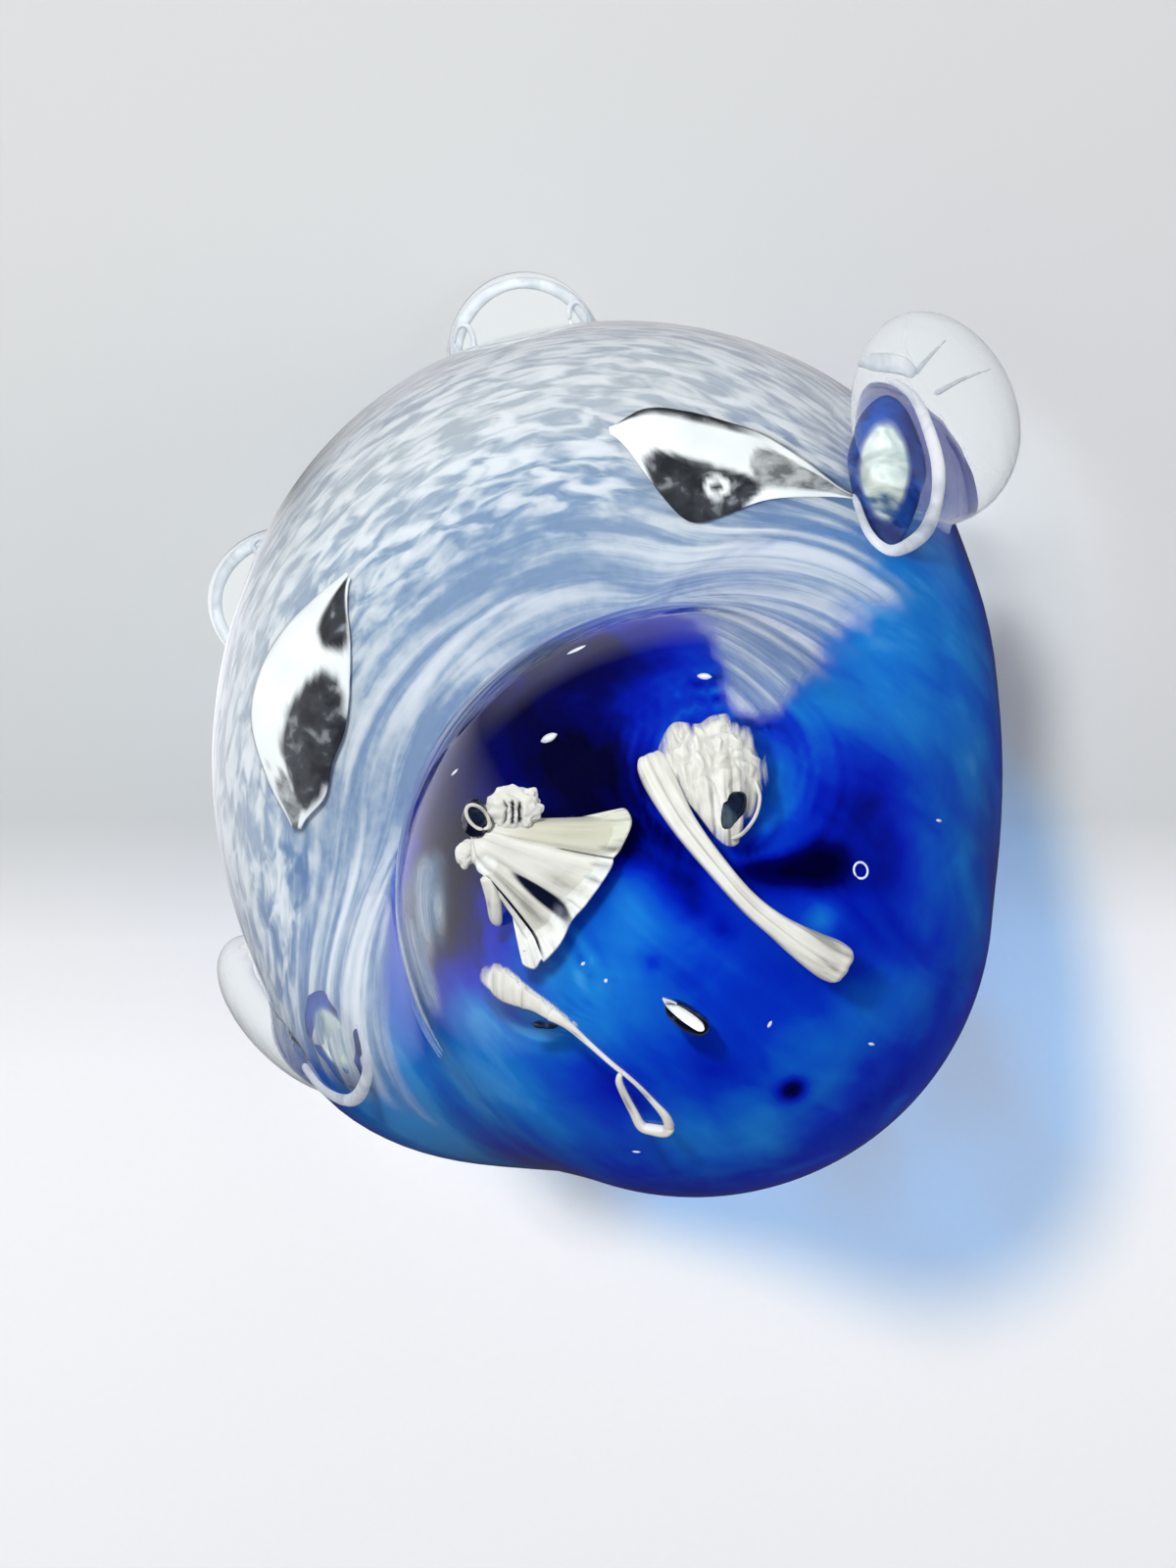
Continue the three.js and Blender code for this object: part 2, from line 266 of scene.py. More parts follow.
def slab(name, rows, cols, at, ring=False):
    """Closed slab on a grid: at(i, j) gives its top point, its bottom point and the marks of both."""
    bm = bmesh.new()
    cells = [[at(i, j) for j in range(cols)] for i in range(rows)]
    layers = mark_layers(bm, cells[0][0][2])
    top, low = [[[put(bm, layers, cell[side], cell[2]) for cell in row] for row in cells] for side in (0, 1)]
    spans = [(j, (j + 1) % cols) for j in range(cols if ring else cols - 1)]
    for i in range(rows - 1):
        for j, m in spans:
            bm.faces.new((top[i][j], top[i][m], top[i + 1][m], top[i + 1][j]))
            bm.faces.new((low[i + 1][j], low[i + 1][m], low[i][m], low[i][j]))
    for j, m in spans:
        bm.faces.new((low[0][j], low[0][m], top[0][m], top[0][j]))
        bm.faces.new((top[-1][j], top[-1][m], low[-1][m], low[-1][j]))
    if not ring:
        for i in range(rows - 1):
            bm.faces.new((top[i][0], top[i + 1][0], low[i + 1][0], low[i][0]))
            bm.faces.new((top[i + 1][-1], top[i][-1], low[i][-1], low[i + 1][-1]))
    bmesh.ops.remove_doubles(bm, verts=bm.verts, dist=WELD)
    return mesh_object(name, bm)


class Nodes:
    """Builds one node tree, where each method gives an output socket."""

    def __init__(self, tree, output):
        self.tree = tree
        tree.nodes.clear()
        self.end = tree.nodes.new("ShaderNodeOutput" + output).inputs[0]

    def feed(self, socket, value):
        if isinstance(value, bpy.types.NodeSocket):
            self.tree.links.new(value, socket)
        else:
            socket.default_value = value

    def add(self, kind, *values, out=0, props=None, **named):
        """A node with its first inputs fed in order and the others by name."""
        made = self.tree.nodes.new("ShaderNode" + kind)
        for key, value in (props or {}).items():
            setattr(made, key, value)
        for socket, value in zip(made.inputs, values):
            self.feed(socket, value)
        for key, value in named.items():
            self.feed(made.inputs[key.replace("_", " ")], value)
        return made.outputs[out]

    def ramp(self, value, *stops):
        """A colour ramp through stops, each a place, red, green and blue."""
        made = self.tree.nodes.new("ShaderNodeValToRGB")
        self.feed(made.inputs[0], value)
        band = made.color_ramp.elements
        while len(band) < len(stops):
            band.new(0.5)
        for element, (place, *colour) in zip(band, stops):
            element.position = place
            element.color = (*colour, 1)
        return made.outputs[0]

    def blend(self, share, first, second):
        """A mix of two colours."""
        made = self.tree.nodes.new("ShaderNodeMix")
        made.data_type = "RGBA"
        sockets = {socket.identifier: socket for socket in made.inputs}
        for key, value in (("Factor_Float", share), ("A_Color", first), ("B_Color", second)):
            self.feed(sockets[key], value)
        return next(socket for socket in made.outputs if socket.identifier == "Result_Color")

    def mix(self, share, first, second):
        """A mix of two shaders."""
        return self.add("MixShader", share, first, second)

    def calc(self, operation, a, b=0, c=0, clamp=False):
        return self.add("Math", a, b, c, props={"operation": operation, "use_clamp": clamp})

    def scale(self, value, by, plus=0, clamp=False):
        return self.calc("MULTIPLY_ADD", value, by, plus, clamp)

    def toward(self, where, direction):
        """How far a place lies along a direction."""
        return self.add("VectorMath", where, direction, out="Value", props={"operation": "DOT_PRODUCT"})

    def place(self):
        return self.add("TexCoord", out="Object")

    def mark(self, name):
        return self.add("Attribute", out="Fac", props={"attribute_name": name})

    def ray(self, kind):
        return self.add("LightPath", out="Is " + kind + " Ray")

    def speckle(self, scale, detail=3, distortion=0, where=None):
        where = self.place() if where is None else where
        return self.add("TexNoise", Vector=where, Scale=scale, Detail=detail, Distortion=distortion)

    def clear(self, colour=(1, 1, 1, 1)):
        return self.add("BsdfTransparent", Color=colour)

    def soft(self, colour, share):
        """A matt body that lets a share of the light glow through."""
        return self.mix(share, self.add("BsdfDiffuse", Color=colour), self.add("BsdfTranslucent", Color=colour))

    def skin(self, colour, roughness, ior, **named):
        return self.add("BsdfPrincipled", Base_Color=colour, Roughness=roughness, IOR=ior, **named)

    def glass(self, colour, ior, wave, ripple):
        bump = self.add("Bump", Height=wave, Strength=ripple, Distance=RIPPLE_DEPTH)
        return self.skin(colour, 0, ior, Transmission_Weight=1, Normal=bump)

    def shaded(self, surface, tint):
        """A surface whose shadow is a plain tint."""
        return self.mix(self.ray("Shadow"), surface, self.clear(tint))


def material(build):
    """A material named after the function that gives its surface."""
    made = bpy.data.materials.new(build.__name__)
    made.use_nodes = True
    nodes = Nodes(made.node_tree, "Material")
    nodes.feed(nodes.end, build(nodes))
    return made


CLEAR_SHADE = (0.94, 0.96, 0.965, 1)
GLASS_IOR = 1.5
FLAP_IOR = 1.16
AIR_IOR = 1.3
RIPPLE_DEPTH = 0.002
LINE_DEPTH = 0.0004


@material
def clear_glass(n):
    wave = n.speckle(55, 2)
    return n.shaded(n.glass((0.965, 0.985, 0.985, 1), GLASS_IOR, wave, 0.1), CLEAR_SHADE)


@material
def flap_glass(n):
    """Thin clear flap that bends what is behind it little, and goes milky to its edges as a painted sheen."""
    wave = n.speckle(90, 2, 0.4)
    milk = n.soft(n.ramp(wave, (0.35, 0.66, 0.7, 0.73), (0.6, 0.9, 0.91, 0.92)), 0.5)
    # Painted sheen: milky white mixed in where the flap is seen edge-on
    edge = n.calc("POWER", n.add("LayerWeight", out="Facing", Blend=0.5), 4)
    edge = n.scale(edge, n.scale(wave, 1.6, -0.2, clamp=True))
    return n.shaded(n.mix(edge, n.glass((0.9, 0.93, 0.945, 1), FLAP_IOR, wave, 0.2), milk), CLEAR_SHADE)


@material
def blue_glass(n):
    """Wisps, drawn streaks and fine specks round a marked tone, from navy to pale azure; the marked tone holds
    painted glow and painted shade as well as the glass's own tone.
    """
    drawn = n.add("Mapping", Vector=n.place(), Scale=(1, 0.28, 0.6))
    tone = n.calc("ADD", n.mark("tone"), -0.41)
    tone = n.scale(n.speckle(70, 4, 1.6), 0.36, tone)
    tone = n.scale(n.speckle(240, 4, 1.1, drawn), 0.34, tone)
    tone = n.scale(n.speckle(330, 4, 0.6), 0.12, tone)
    colour = n.ramp(tone, (0.02, 0, 0, 0.03), (0.2, 0.0003, 0.001, 0.12), (0.4, 0.001, 0.015, 0.46),
                    (0.56, 0.003, 0.05, 0.56), (0.74, 0.008, 0.16, 0.6), (0.9, 0.02, 0.29, 0.66),
                    (1, 0.08, 0.42, 0.74))
    tint = n.ramp(tone, (0.05, 0.01, 0.02, 0.25), (0.4, 0.03, 0.1, 0.75), (0.7, 0.06, 0.34, 0.92),
                  (1, 0.25, 0.62, 0.96))
    layer = n.mix(0.72, n.clear(tint), n.soft(colour, 0.4))
    return n.mix(n.mark("cover"), n.clear(), n.shaded(layer, (0.16, 0.76, 0.95, 1)))


@material
def white_frit(n):
    """Blotches on the belly that draw out into streaks at the collar, and go dull to the base."""
    turn, run = n.mark("turn"), n.mark("run")

    def field(across, along, detail, seed, distortion=0):
        where = n.add("CombineXYZ", n.scale(turn, across), n.scale(run, along), seed)
        return n.speckle(1, detail, distortion, where)

    streak = n.scale(field(0.04, 0.5, 3, 3, 0.5), 1.25, -0.085)
    blotch = n.scale(field(0.3, 0.8, 2, 9, 0.6), 1.35, -0.175)
    fine = field(0.7, 1.1, 4, 5)
    streaky = n.mark("streaky")
    grain = n.scale(streak, streaky, n.scale(blotch, n.calc("SUBTRACT", 1, streaky)))
    grain = n.calc("ADD", grain, n.scale(fine, 0.16, -0.08))
    grain = n.scale(streaky, -0.07, grain)
    pale = n.ramp(grain, (0.34, 0.47, 0.51, 0.53), (0.45, 0.55, 0.58, 0.595), (0.54, 0.63, 0.65, 0.655),
                  (0.68, 0.76, 0.77, 0.77))
    steel = n.ramp(grain, (0.34, 0.15, 0.26, 0.42), (0.44, 0.29, 0.385, 0.5), (0.54, 0.52, 0.57, 0.61),
                   (0.7, 0.74, 0.755, 0.76))
    dull = n.ramp(fine, (0.3, 0.58, 0.61, 0.62), (0.7, 0.8, 0.81, 0.815))
    colour = n.blend(n.mark("grey"), n.blend(n.mark("tone"), pale, steel), dull)
    thick = n.scale(n.scale(grain, 4.2, -1.35, clamp=True), 0.38, 0.62)
    dense = n.scale(n.mark("cover"), thick, clamp=True)
    return n.mix(dense, n.clear(), n.shaded(n.soft(colour, 0.35), (0.72, 0.78, 0.86, 1)))


@material
def ivory_glass(n):
    """Drawn lines with dark gaps, painted shade in marked creases, and a side darkened to beige as painted
    shade, worn away where it is marked thin.
    """
    where = n.add("CombineXYZ", n.scale(n.mark("across"), 1.5), n.scale(n.mark("along"), 0.1), 2)
    lines = n.speckle(1, 3, 0.3, where)
    cloud = n.speckle(260, 3, 0.5)
    tone = n.scale(cloud, 0.35, n.scale(lines, 0.65))
    ivory = n.ramp(tone, (0.34, 0.32, 0.33, 0.3), (0.42, 0.58, 0.58, 0.53), (0.53, 0.71, 0.72, 0.675),
                   (0.68, 0.81, 0.815, 0.79))
    # Painted shade: the marked side of the beak is darkened to beige
    ivory = n.blend(n.mark("shaded_side"), ivory, (0.52, 0.52, 0.41, 1))
    # Marked gaps go near-black; on the right eye they also hold painted shade in the creases between lumps
    colour = n.blend(n.mark("dark_gap_and_crease_shade"), ivory, (0.004, 0.006, 0.022, 1))
    bump = n.add("Bump", Height=lines, Strength=0.25, Distance=LINE_DEPTH)
    skin = n.skin(colour, 0.22, GLASS_IOR, Coat_Weight=0.3, Coat_Roughness=0.05, Normal=bump)
    ragged = n.scale(lines, 1.6, n.calc("ADD", n.mark("thin"), -0.8))
    return n.mix(n.scale(ragged, 2.2, -0.9, clamp=True), skin, n.clear())


@material
def dark_glass(n):
    cloud = n.speckle(420, 4, 0.8)
    colour = n.ramp(cloud, (0.35, 0.002, 0.003, 0.012), (0.55, 0.008, 0.014, 0.035), (0.72, 0.06, 0.09, 0.12))
    return n.skin(colour, 0.08, GLASS_IOR)


@material
def painted_air_reflection(n):
    """Painted reflection: the bright look of trapped air, painted grey and near-black as reflections of the room
    where it is marked.
    """
    fine = n.speckle(600, 4, 0.4)
    broad = n.speckle(150, 2)
    pale = n.ramp(broad, (0.3, 0.6, 0.62, 0.62), (0.7, 0.78, 0.79, 0.79))
    painted_grey_reflection = n.ramp(fine, (0.38, 0.1, 0.11, 0.115), (0.62, 0.36, 0.37, 0.37))
    painted_dark_reflection = n.ramp(fine, (0.4, 0.008, 0.009, 0.012), (0.58, 0.03, 0.034, 0.04), (0.7, 0.16, 0.17, 0.18))
    colour = n.blend(n.mark("painted_dark_reflection"), n.blend(n.mark("painted_grey_reflection"), pale, painted_grey_reflection), painted_dark_reflection)
    return n.skin(colour, 0.3, AIR_IOR)


@material
def painted_see_through_film(n):
    """Silvery green cloud inside a deep blue rim: a painted view of the pale room seen through the clear
    flipper, ringed by a painted image of the blue body.
    """
    broad = n.speckle(210, 3, 1.2)
    cloud = n.ramp(broad, (0.3, 0.05, 0.1, 0.2), (0.4, 0.26, 0.33, 0.34), (0.55, 0.5, 0.56, 0.52),
                   (0.7, 0.82, 0.85, 0.82))
    fine = n.speckle(320, 3, 0.6)
    deep = n.ramp(fine, (0.35, 0.002, 0.01, 0.1), (0.65, 0.01, 0.06, 0.3))
    return n.skin(n.blend(n.mark("rim"), cloud, deep), 0.2, GLASS_IOR)


# Painted highlight: milky white for lines where the glass catches the light
@material
def painted_highlight_glass(n):
    cloud = n.speckle(170, 3, 0.6)
    colour = n.ramp(cloud, (0.3, 0.66, 0.71, 0.76), (0.6, 0.9, 0.92, 0.94))
    return n.mix(n.scale(cloud, 2, -0.15, clamp=True), n.clear(), n.soft(colour, 0.4))


CLEAR, IVORY = "clear_glass", "ivory_glass"


def dress(piece, finish, slot, *nodes):
    """Moves a piece to the frame and says what it is made of, rides and stands for."""
    piece.data.transform(Matrix.Translation(SHIFT * MM))
    piece.data.materials.clear()
    piece.data.materials.append(finish)
    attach(piece, "root")
    if nodes:
        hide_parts(*nodes)


# Outer glass: the core and the casing are one clear mass to the eye
dress(mesh_object("glass_body", turned(SKIN_DEPTH)), clear_glass, CLEAR, "clear_casing", "clear_core")

# Colour layers: where white and blue meet, and how far the white's streaks climb on the penguin's right
SEAM = radians(86)
COLLAR = 60.5
SWIRL = 15
SWIRL_START = -0.5
TURN_LENGTH = 30


def colour_layer(name, depth, marks_of, finish, slot, node):
    """A layer under the skin, kept where its cover is above nothing."""
    bm = bmesh.new()
    layers = mark_layers(bm, ("cover", "tone", "turn", "run", "streaky", "grey"))

    def lay(point, bearing, run):
        place = spot(point.x, point.y, bearing)
        climb = SWIRL * max(0, SWIRL_START - bearing) ** 2
        marks = {"turn": bearing * TURN_LENGTH, "run": run - climb}
        return put(bm, layers, place, {**marks_of(place, bearing), **marks})

    columns = []
    for bearing in bearings(LAYER_COLUMNS):
        points = outline(depth, bearing, LAYER_FINENESS)
        run = 0
        column = []
        for before, point in zip([points[0]] + points, points[:-1]):
            run += (point - before).length
            column.append(lay(point, bearing, run))
        columns.append(column)
    dome_faces(bm, columns, lay(points[-1], 0, run))
    bare = [f for f in bm.faces if all(v[layers["cover"]] <= 0 for v in f.verts)]
    bmesh.ops.delete(bm, geom=bare, context="FACES")
    piece = mesh_object(name, bm)
    wall = piece.modifiers.new("wall", "SOLIDIFY")
    wall.thickness = LAYER_WALL * MM
    wall.offset = -1
    dress(piece, finish, slot, node)


def drifting(place, size, seed):
    return noise.fractal(place / size + Vector((seed, seed * 1.7, -seed)), 1, 2, 3)


def near(place, spots, depth):
    """Sum of soft round weights on the skin over a place, each given as x, y, z, reach and weight."""
    if place.z > HEAD_HEIGHT:
        place = HEAD + (place - HEAD) * (HEAD_RADIUS / (HEAD_RADIUS - depth))
    total = 0
    for x, y, z, reach, weight in spots:
        total += weight * exp(-((place - Vector((x, y, z))).length / reach) ** 2)
    return total


# Where the blue runs pale, partly its own colour and partly painted glow of light shining through; where it runs
# to navy, partly its own colour and partly painted shade; and where the white veils it
PALE_AND_PAINTED_GLOW = [(-16, -5, 91.4, 3.2, 0.34), (-13.1, -2.5, 94.1, 2.2, 0.16), (-26, -1, 70, 10, 0.3),
        (-24.5, 3.3, 81.5, 7, 0.2), (-31, 8, 64, 10, 0.22), (-33, -3, 56, 9, 0.3), (6.4, -7.5, 93.7, 4.5, 0.24),
        (0.3, -5.7, 95.9, 4, 0.22), (6.8, -3.3, 95.6, 4.5, 0.18), (26, -2, 65.6, 9, 0.32), (32, 4, 60, 10, 0.3),
        (17.4, -2.5, 87.8, 6, 0.28), (29.6, 8.6, 65, 8, 0.28), (17.5, 3.8, 89.4, 6, 0.2),
        (10.2, 10.8, 94.3, 5, 0.26), (14.5, -7.2, 88.2, 2.8, 0.24), (11.6, -4.4, 92.6, 2.2, 0.36),
        (-11.1, 4.4, 96.5, 1.5, 0.36), (0, 36, 40, 22, 0.2), (22, -1, 80, 7, 0.56), (-19.7, 15.2, 85.3, 6, 0.16),
        (-27.4, 12.4, 73.6, 7, 0.14), (-22.8, -4.2, 82.7, 4, 0.32), (16, -7.5, 86, 5, 0.25),
        (-9.1, 14.4, 94.6, 5, 0.28), (-2.2, 13.7, 96.2, 5, 0.26), (5.5, 14.5, 94.8, 5, 0.26),
        (-2.8, -8.6, 95, 2.5, 0.28)]
NAVY_AND_PAINTED_SHADE = [(-10, -18, 79, 8, -0.32), (1, -20, 75, 12, -0.34), (-2.8, -15.8, 87, 5, -0.3),
        (-6.3, -13.4, 90, 4.5, -0.26), (-4.1, -9.7, 93.6, 3, -0.2), (-5.3, -6.2, 95.5, 2.2, -0.18),
        (-10, -2.8, 95.6, 1.4, -0.3), (-10.8, -1.8, 95.7, 1.4, -0.28), (-12, -0.6, 95.4, 1.7, -0.36),
        (-13.3, 0.9, 94.9, 1.9, -0.34), (-14.8, 2.4, 94.2, 2.1, -0.44), (-17.5, 6, 91.5, 3.5, -0.22),
        (-13.8, 9.4, 94.5, 4, -0.14), (-4.8, -3.9, 96.5, 1.1, -0.2), (-5.4, -1.5, 97.4, 1.1, -0.18),
        (0.8, -3.4, 96.9, 0.9, -0.28), (0.8, 13.4, 96.3, 1.3, -0.75), (11.1, 3.1, 94.9, 3.2, -0.22),
        (11, -15, 83, 6, -0.4), (15.2, -12.2, 81, 5, -0.35), (-20.3, 1.9, 89.5, 4.5, -0.22),
        (-17.2, 0.2, 92.2, 2.6, -0.08), (-23.2, 3, 85, 4.5, -0.2)]
VEIL = [(-20.5, -9.5, 77, 5, 0.75), (-23, -7, 71, 6, 0.85), (-27, -5, 63, 6, 0.85), (17.5, -10.5, 76, 5, 0.6),
        (17.6, -9.6, 81, 2.6, 0.5), (11, -15.5, 82, 3.6, 0.66), (14.5, -12.5, 81, 3.2, 0.6),
        (-20.7, -11.5, 63.5, 4, 0.8), (-18.6, -12.6, 61.5, 3.5, 0.8), (-19.3, -8.8, 84.8, 3, 0.7),
        (-21.4, -8.8, 80.3, 3.5, 0.7), (19.8, -7.2, 79, 3, 0.45)]


def swirl(place, centre, reach, seed):
    """Broken streaks that run round a centre at a distance."""
    away = place - Vector(centre)
    turn = atan2(away.y, away.x)
    return bell(away.length, reach, 0.4 * reach) * noise.noise(Vector((away.length * 1.3, turn * 1.1, seed)))


def blue_marks(place, bearing):
    """The blue starts a little inside the white's seam and collar, so that the two overlap."""
    drift = 0.12 * drifting(place, 14, 4)
    side = abs(bearing) - SEAM + 0.4 + 1.6 * drift
    top = place.z - COLLAR + 4 + 16 * drift
    cover = max(smooth_step(-0.15, 0.25, side), smooth_step(-2, 2, top))
    # The pale and navy spots paint glow and shade into the blue's own uneven tone
    tone = 0.54 + 0.16 * drifting(place, 13, 2) + near(place, PALE_AND_PAINTED_GLOW + NAVY_AND_PAINTED_SHADE, BLUE_DEPTH)
    tone += 0.34 * swirl(place, (-13.5, -8.5, 89), 6.5, 1) + 0.26 * swirl(place, (8.5, -7.5, 91), 4.5, 2)
    return {"cover": cover, "tone": tone}


def white_marks(place, bearing):
    """The white ends in a brim at the collar, with veils above it, and thins to the base."""
    drift = drifting(place, 12, 7)
    side = SEAM - abs(bearing) + 0.1 * drift
    brim = COLLAR - 2 + 9 * smooth_step(0.75, 1.1, bearing) + 2 * smooth_step(-0.4, -0.8, bearing)
    top = brim - place.z + 1.2 * drift
    cover = smooth_step(-0.08, 0.16, side) * smooth_step(-0.8, 2.2, top)
    veil = near(place, VEIL, WHITE_DEPTH) + 0.3 * drifting(place, 5, 3)
    cover = max(cover, smooth_step(0.25, 0.75, veil) * 0.8)
    cover *= 0.65 + 0.35 * smooth_step(0, 14, place.z)
    streaky = smooth_step(49.5, 56, place.z)
    tone = smooth_step(42, 53, place.z + 2 * drift) * (1 - 0.2 * smooth_step(-0.5, -1, bearing))
    grey = 1 - smooth_step(4, 26, place.z + 4 * drift)
    return {"cover": cover, "tone": tone, "streaky": streaky, "grey": grey}


colour_layer("white_layer", WHITE_DEPTH, white_marks, white_frit, "white_frit", "white_overlay")
colour_layer("blue_layer", BLUE_DEPTH, blue_marks, blue_glass, "blue_glass", "blue_overlay")

# The skin that applied bits are fused to, sunk a little under the surface and carried below the ground
CUTTER_DROP = 12
cutter = mesh_object("cutter", turned(FUSE_DEPTH, CUTTER_DROP))


def fused(piece):
    """Cuts a bit back to the sunk skin, so that it meets the body with no air between."""
    cut = piece.modifiers.new("fuse", "BOOLEAN")
    cut.operation = "DIFFERENCE"
    cut.solver = "EXACT"
    cut.object = cutter
    depsgraph = bpy.context.evaluated_depsgraph_get()
    done = bpy.data.meshes.new_from_object(piece.evaluated_get(depsgraph))
    piece.modifiers.clear()
    old, piece.data = piece.data, done
    bpy.data.meshes.remove(old)
    done.shade_smooth()
    return piece


def basis(start, end, side):
    """Turn that brings z along a line and x to its side."""
    along = (end - start).normalized()
    depth = along.cross(side).normalized()
    return Matrix((depth.cross(along), depth, along)).transposed()


def lobe(name, start, end, side, width, thickness, taper):
    """Rounded paddle from a start to an end, in millimetres."""
    turn = basis(start, end, side)
    length = (end - start).length
    bm = bmesh.new()
    bmesh.ops.create_uvsphere(bm, u_segments=72, v_segments=56, radius=0.5)
    for vert in bm.verts:
        p = vert.co.copy()
        swell = 1 + 2 * taper * p.z
        local = Vector((p.x * width * swell, p.y * thickness * swell, (p.z + 0.5) * length))
        vert.co = (turn @ local + start) * MM
    return mesh_object(name, bm)


# Flippers, as in the solids, each tip set out and back by its own amount
FLIPPER_TOP = 56
FLIPPER_TIP = 17
FLIPPER_SHAPE = (18.8, 10.2, 0.18)
flippers = {}
for name, side, tip_out, tip_back in (("left", 1, 7.8, -1), ("right", -1, 14, 4)):
    top = Vector((BELLY_RADIUS - 2, BELLY_LEAN - 3, FLIPPER_TOP))
    tip = Vector((BELLY_RADIUS + tip_out, BELLY_LEAN + tip_back, FLIPPER_TIP))
    shift = AXIS + Vector((sway(FLIPPER_TOP - (tip - top).length / 3), 0, 0))
    top.x *= side
    tip.x *= side
    flipper = lobe(name + "_flipper_glass", top + shift, tip + shift, Vector((0, 1, 0)), *FLIPPER_SHAPE)
    flippers[name] = fused(flipper)

# Feet, ground flat with the base
FOOT_TURN = radians(35)
FOOT_OUT = 2.6
FOOT_RISE = 2.5
FOOT_HALF = 9.5
FOOT_SHAPE = (17, 9, 0)
feet = {}
for name, side in (("left", 1), ("right", -1)):
    aim = Vector((sin(side * FOOT_TURN), -cos(side * FOOT_TURN), 0))
    across = Vector((0, 0, 1)).cross(aim)
    centre = AXIS + Vector((0, BELLY_LEAN, FOOT_RISE)) + aim * (BASE_RADIUS + FOOT_OUT)
    foot = lobe(name + "_foot_glass", centre - aim * FOOT_HALF, centre + aim * FOOT_HALF, across, *FOOT_SHAPE)
    for vert in foot.data.vertices:
        vert.co.z = max(vert.co.z, 0)
    feet[name] = (fused(foot), centre, aim, across)


def tube(name, points, sides=14, count=60):
    """Closed thread through points given as x, y, z and radius, its ends rounded off."""
    run = flow(points, count)
    bm = bmesh.new()
    layers = mark_layers(bm, ("along", "across"))
    rings = []
    for k, (x, y, z, radius) in enumerate(run):
        here = Vector((x, y, z))
        ahead = Vector(run[min(k + 1, count - 1)][:3]) - Vector(run[max(k - 1, 0)][:3])
        ahead.normalize()
        up = here - HEAD
        up = (up - ahead * up.dot(ahead)).normalized()
        wide = ahead.cross(up)
        reach = radius * min(1, sqrt((min(k, count - 1 - k) + 0.15) / 3))
        ring = []
        for a in circle(sides)[:-1]:
            point = here + (wide * cos(a) + up * sin(a)) * reach
            ring.append(put(bm, layers, point, {"along": k * 0.3, "across": cos(a) * radius}))
        rings.append(ring)
    return sleeve(name, bm, rings)


def thread(points, lift):
    """Brings x, y and radius points onto the head."""
    return [(*head_spot(x, y, lift), radius) for x, y, radius in points]


def join(name, pieces):
    """Joins several made objects into one."""
    bm = bmesh.new()
    for piece in pieces:
        bm.from_mesh(piece.data)
        bpy.data.objects.remove(piece)
    return mesh_object(name, bm)


def blob(name, centre, size, turn, crumpled, seed, slits=()):
    """Rounded lump, crumpled and slit, with its slits marked as gaps."""
    bm = bmesh.new()
    bmesh.ops.create_icosphere(bm, subdivisions=5, radius=1)
    dark_gap_and_crease_shade = bm.verts.layers.float.new("dark_gap_and_crease_shade")
    spin = Matrix.Rotation(turn, 3, "Z")
    for vert in bm.verts:
        p = vert.co.copy()
        swell = 1 + crumpled * noise.fractal(p * 1.6 + Vector((seed, 0, seed)), 1, 2, 3)
        cut = 0
        for place, width in slits:
            cut = max(cut, bell(p.x, place, width) * smooth_step(0, 0.4, p.z) * smooth_step(0.8, 0.4, abs(p.y)))
        vert[dark_gap_and_crease_shade] = smooth_step(0.3, 0.7, cut)
        local = Vector((p.x * size[0], p.y * size[1], p.z * size[2])) * (swell - 0.25 * cut)
        vert.co = (spin @ local + Vector(centre)) * MM
    return mesh_object(name, bm)


# Crimped beak: uneven pleats that gather at the tip, with dark slots between them
BEAK_ROOT = Vector((0.4, -9.2, 91.6))
BEAK_TIP = Vector((2.8, -18.7, 92.3))
BEAK_WIDTHS = (1.5, 6.6)
BEAK_HEIGHTS = (1.2, 2.3)
BEAK_SINK = 0.4
PLEATS = [(0.3, 0.016, 0.14), (0.6, 0.045, 0.2), (0.87, 0.022, 0.2)]
SLOTS = [(0.32, 0.3, 0.6, 0.042), (0.4, 0.36, 0.82, 0.026), (0.2, 0.22, 0.3, 0.007)]


def clear_of_head(point):
    """Pulls a point that lies deep in the head out to just under its skin."""
    out = point - HEAD
    least = HEAD_RADIUS - BEAK_SINK
    return point if out.length >= least else HEAD + out * (least / out.length)


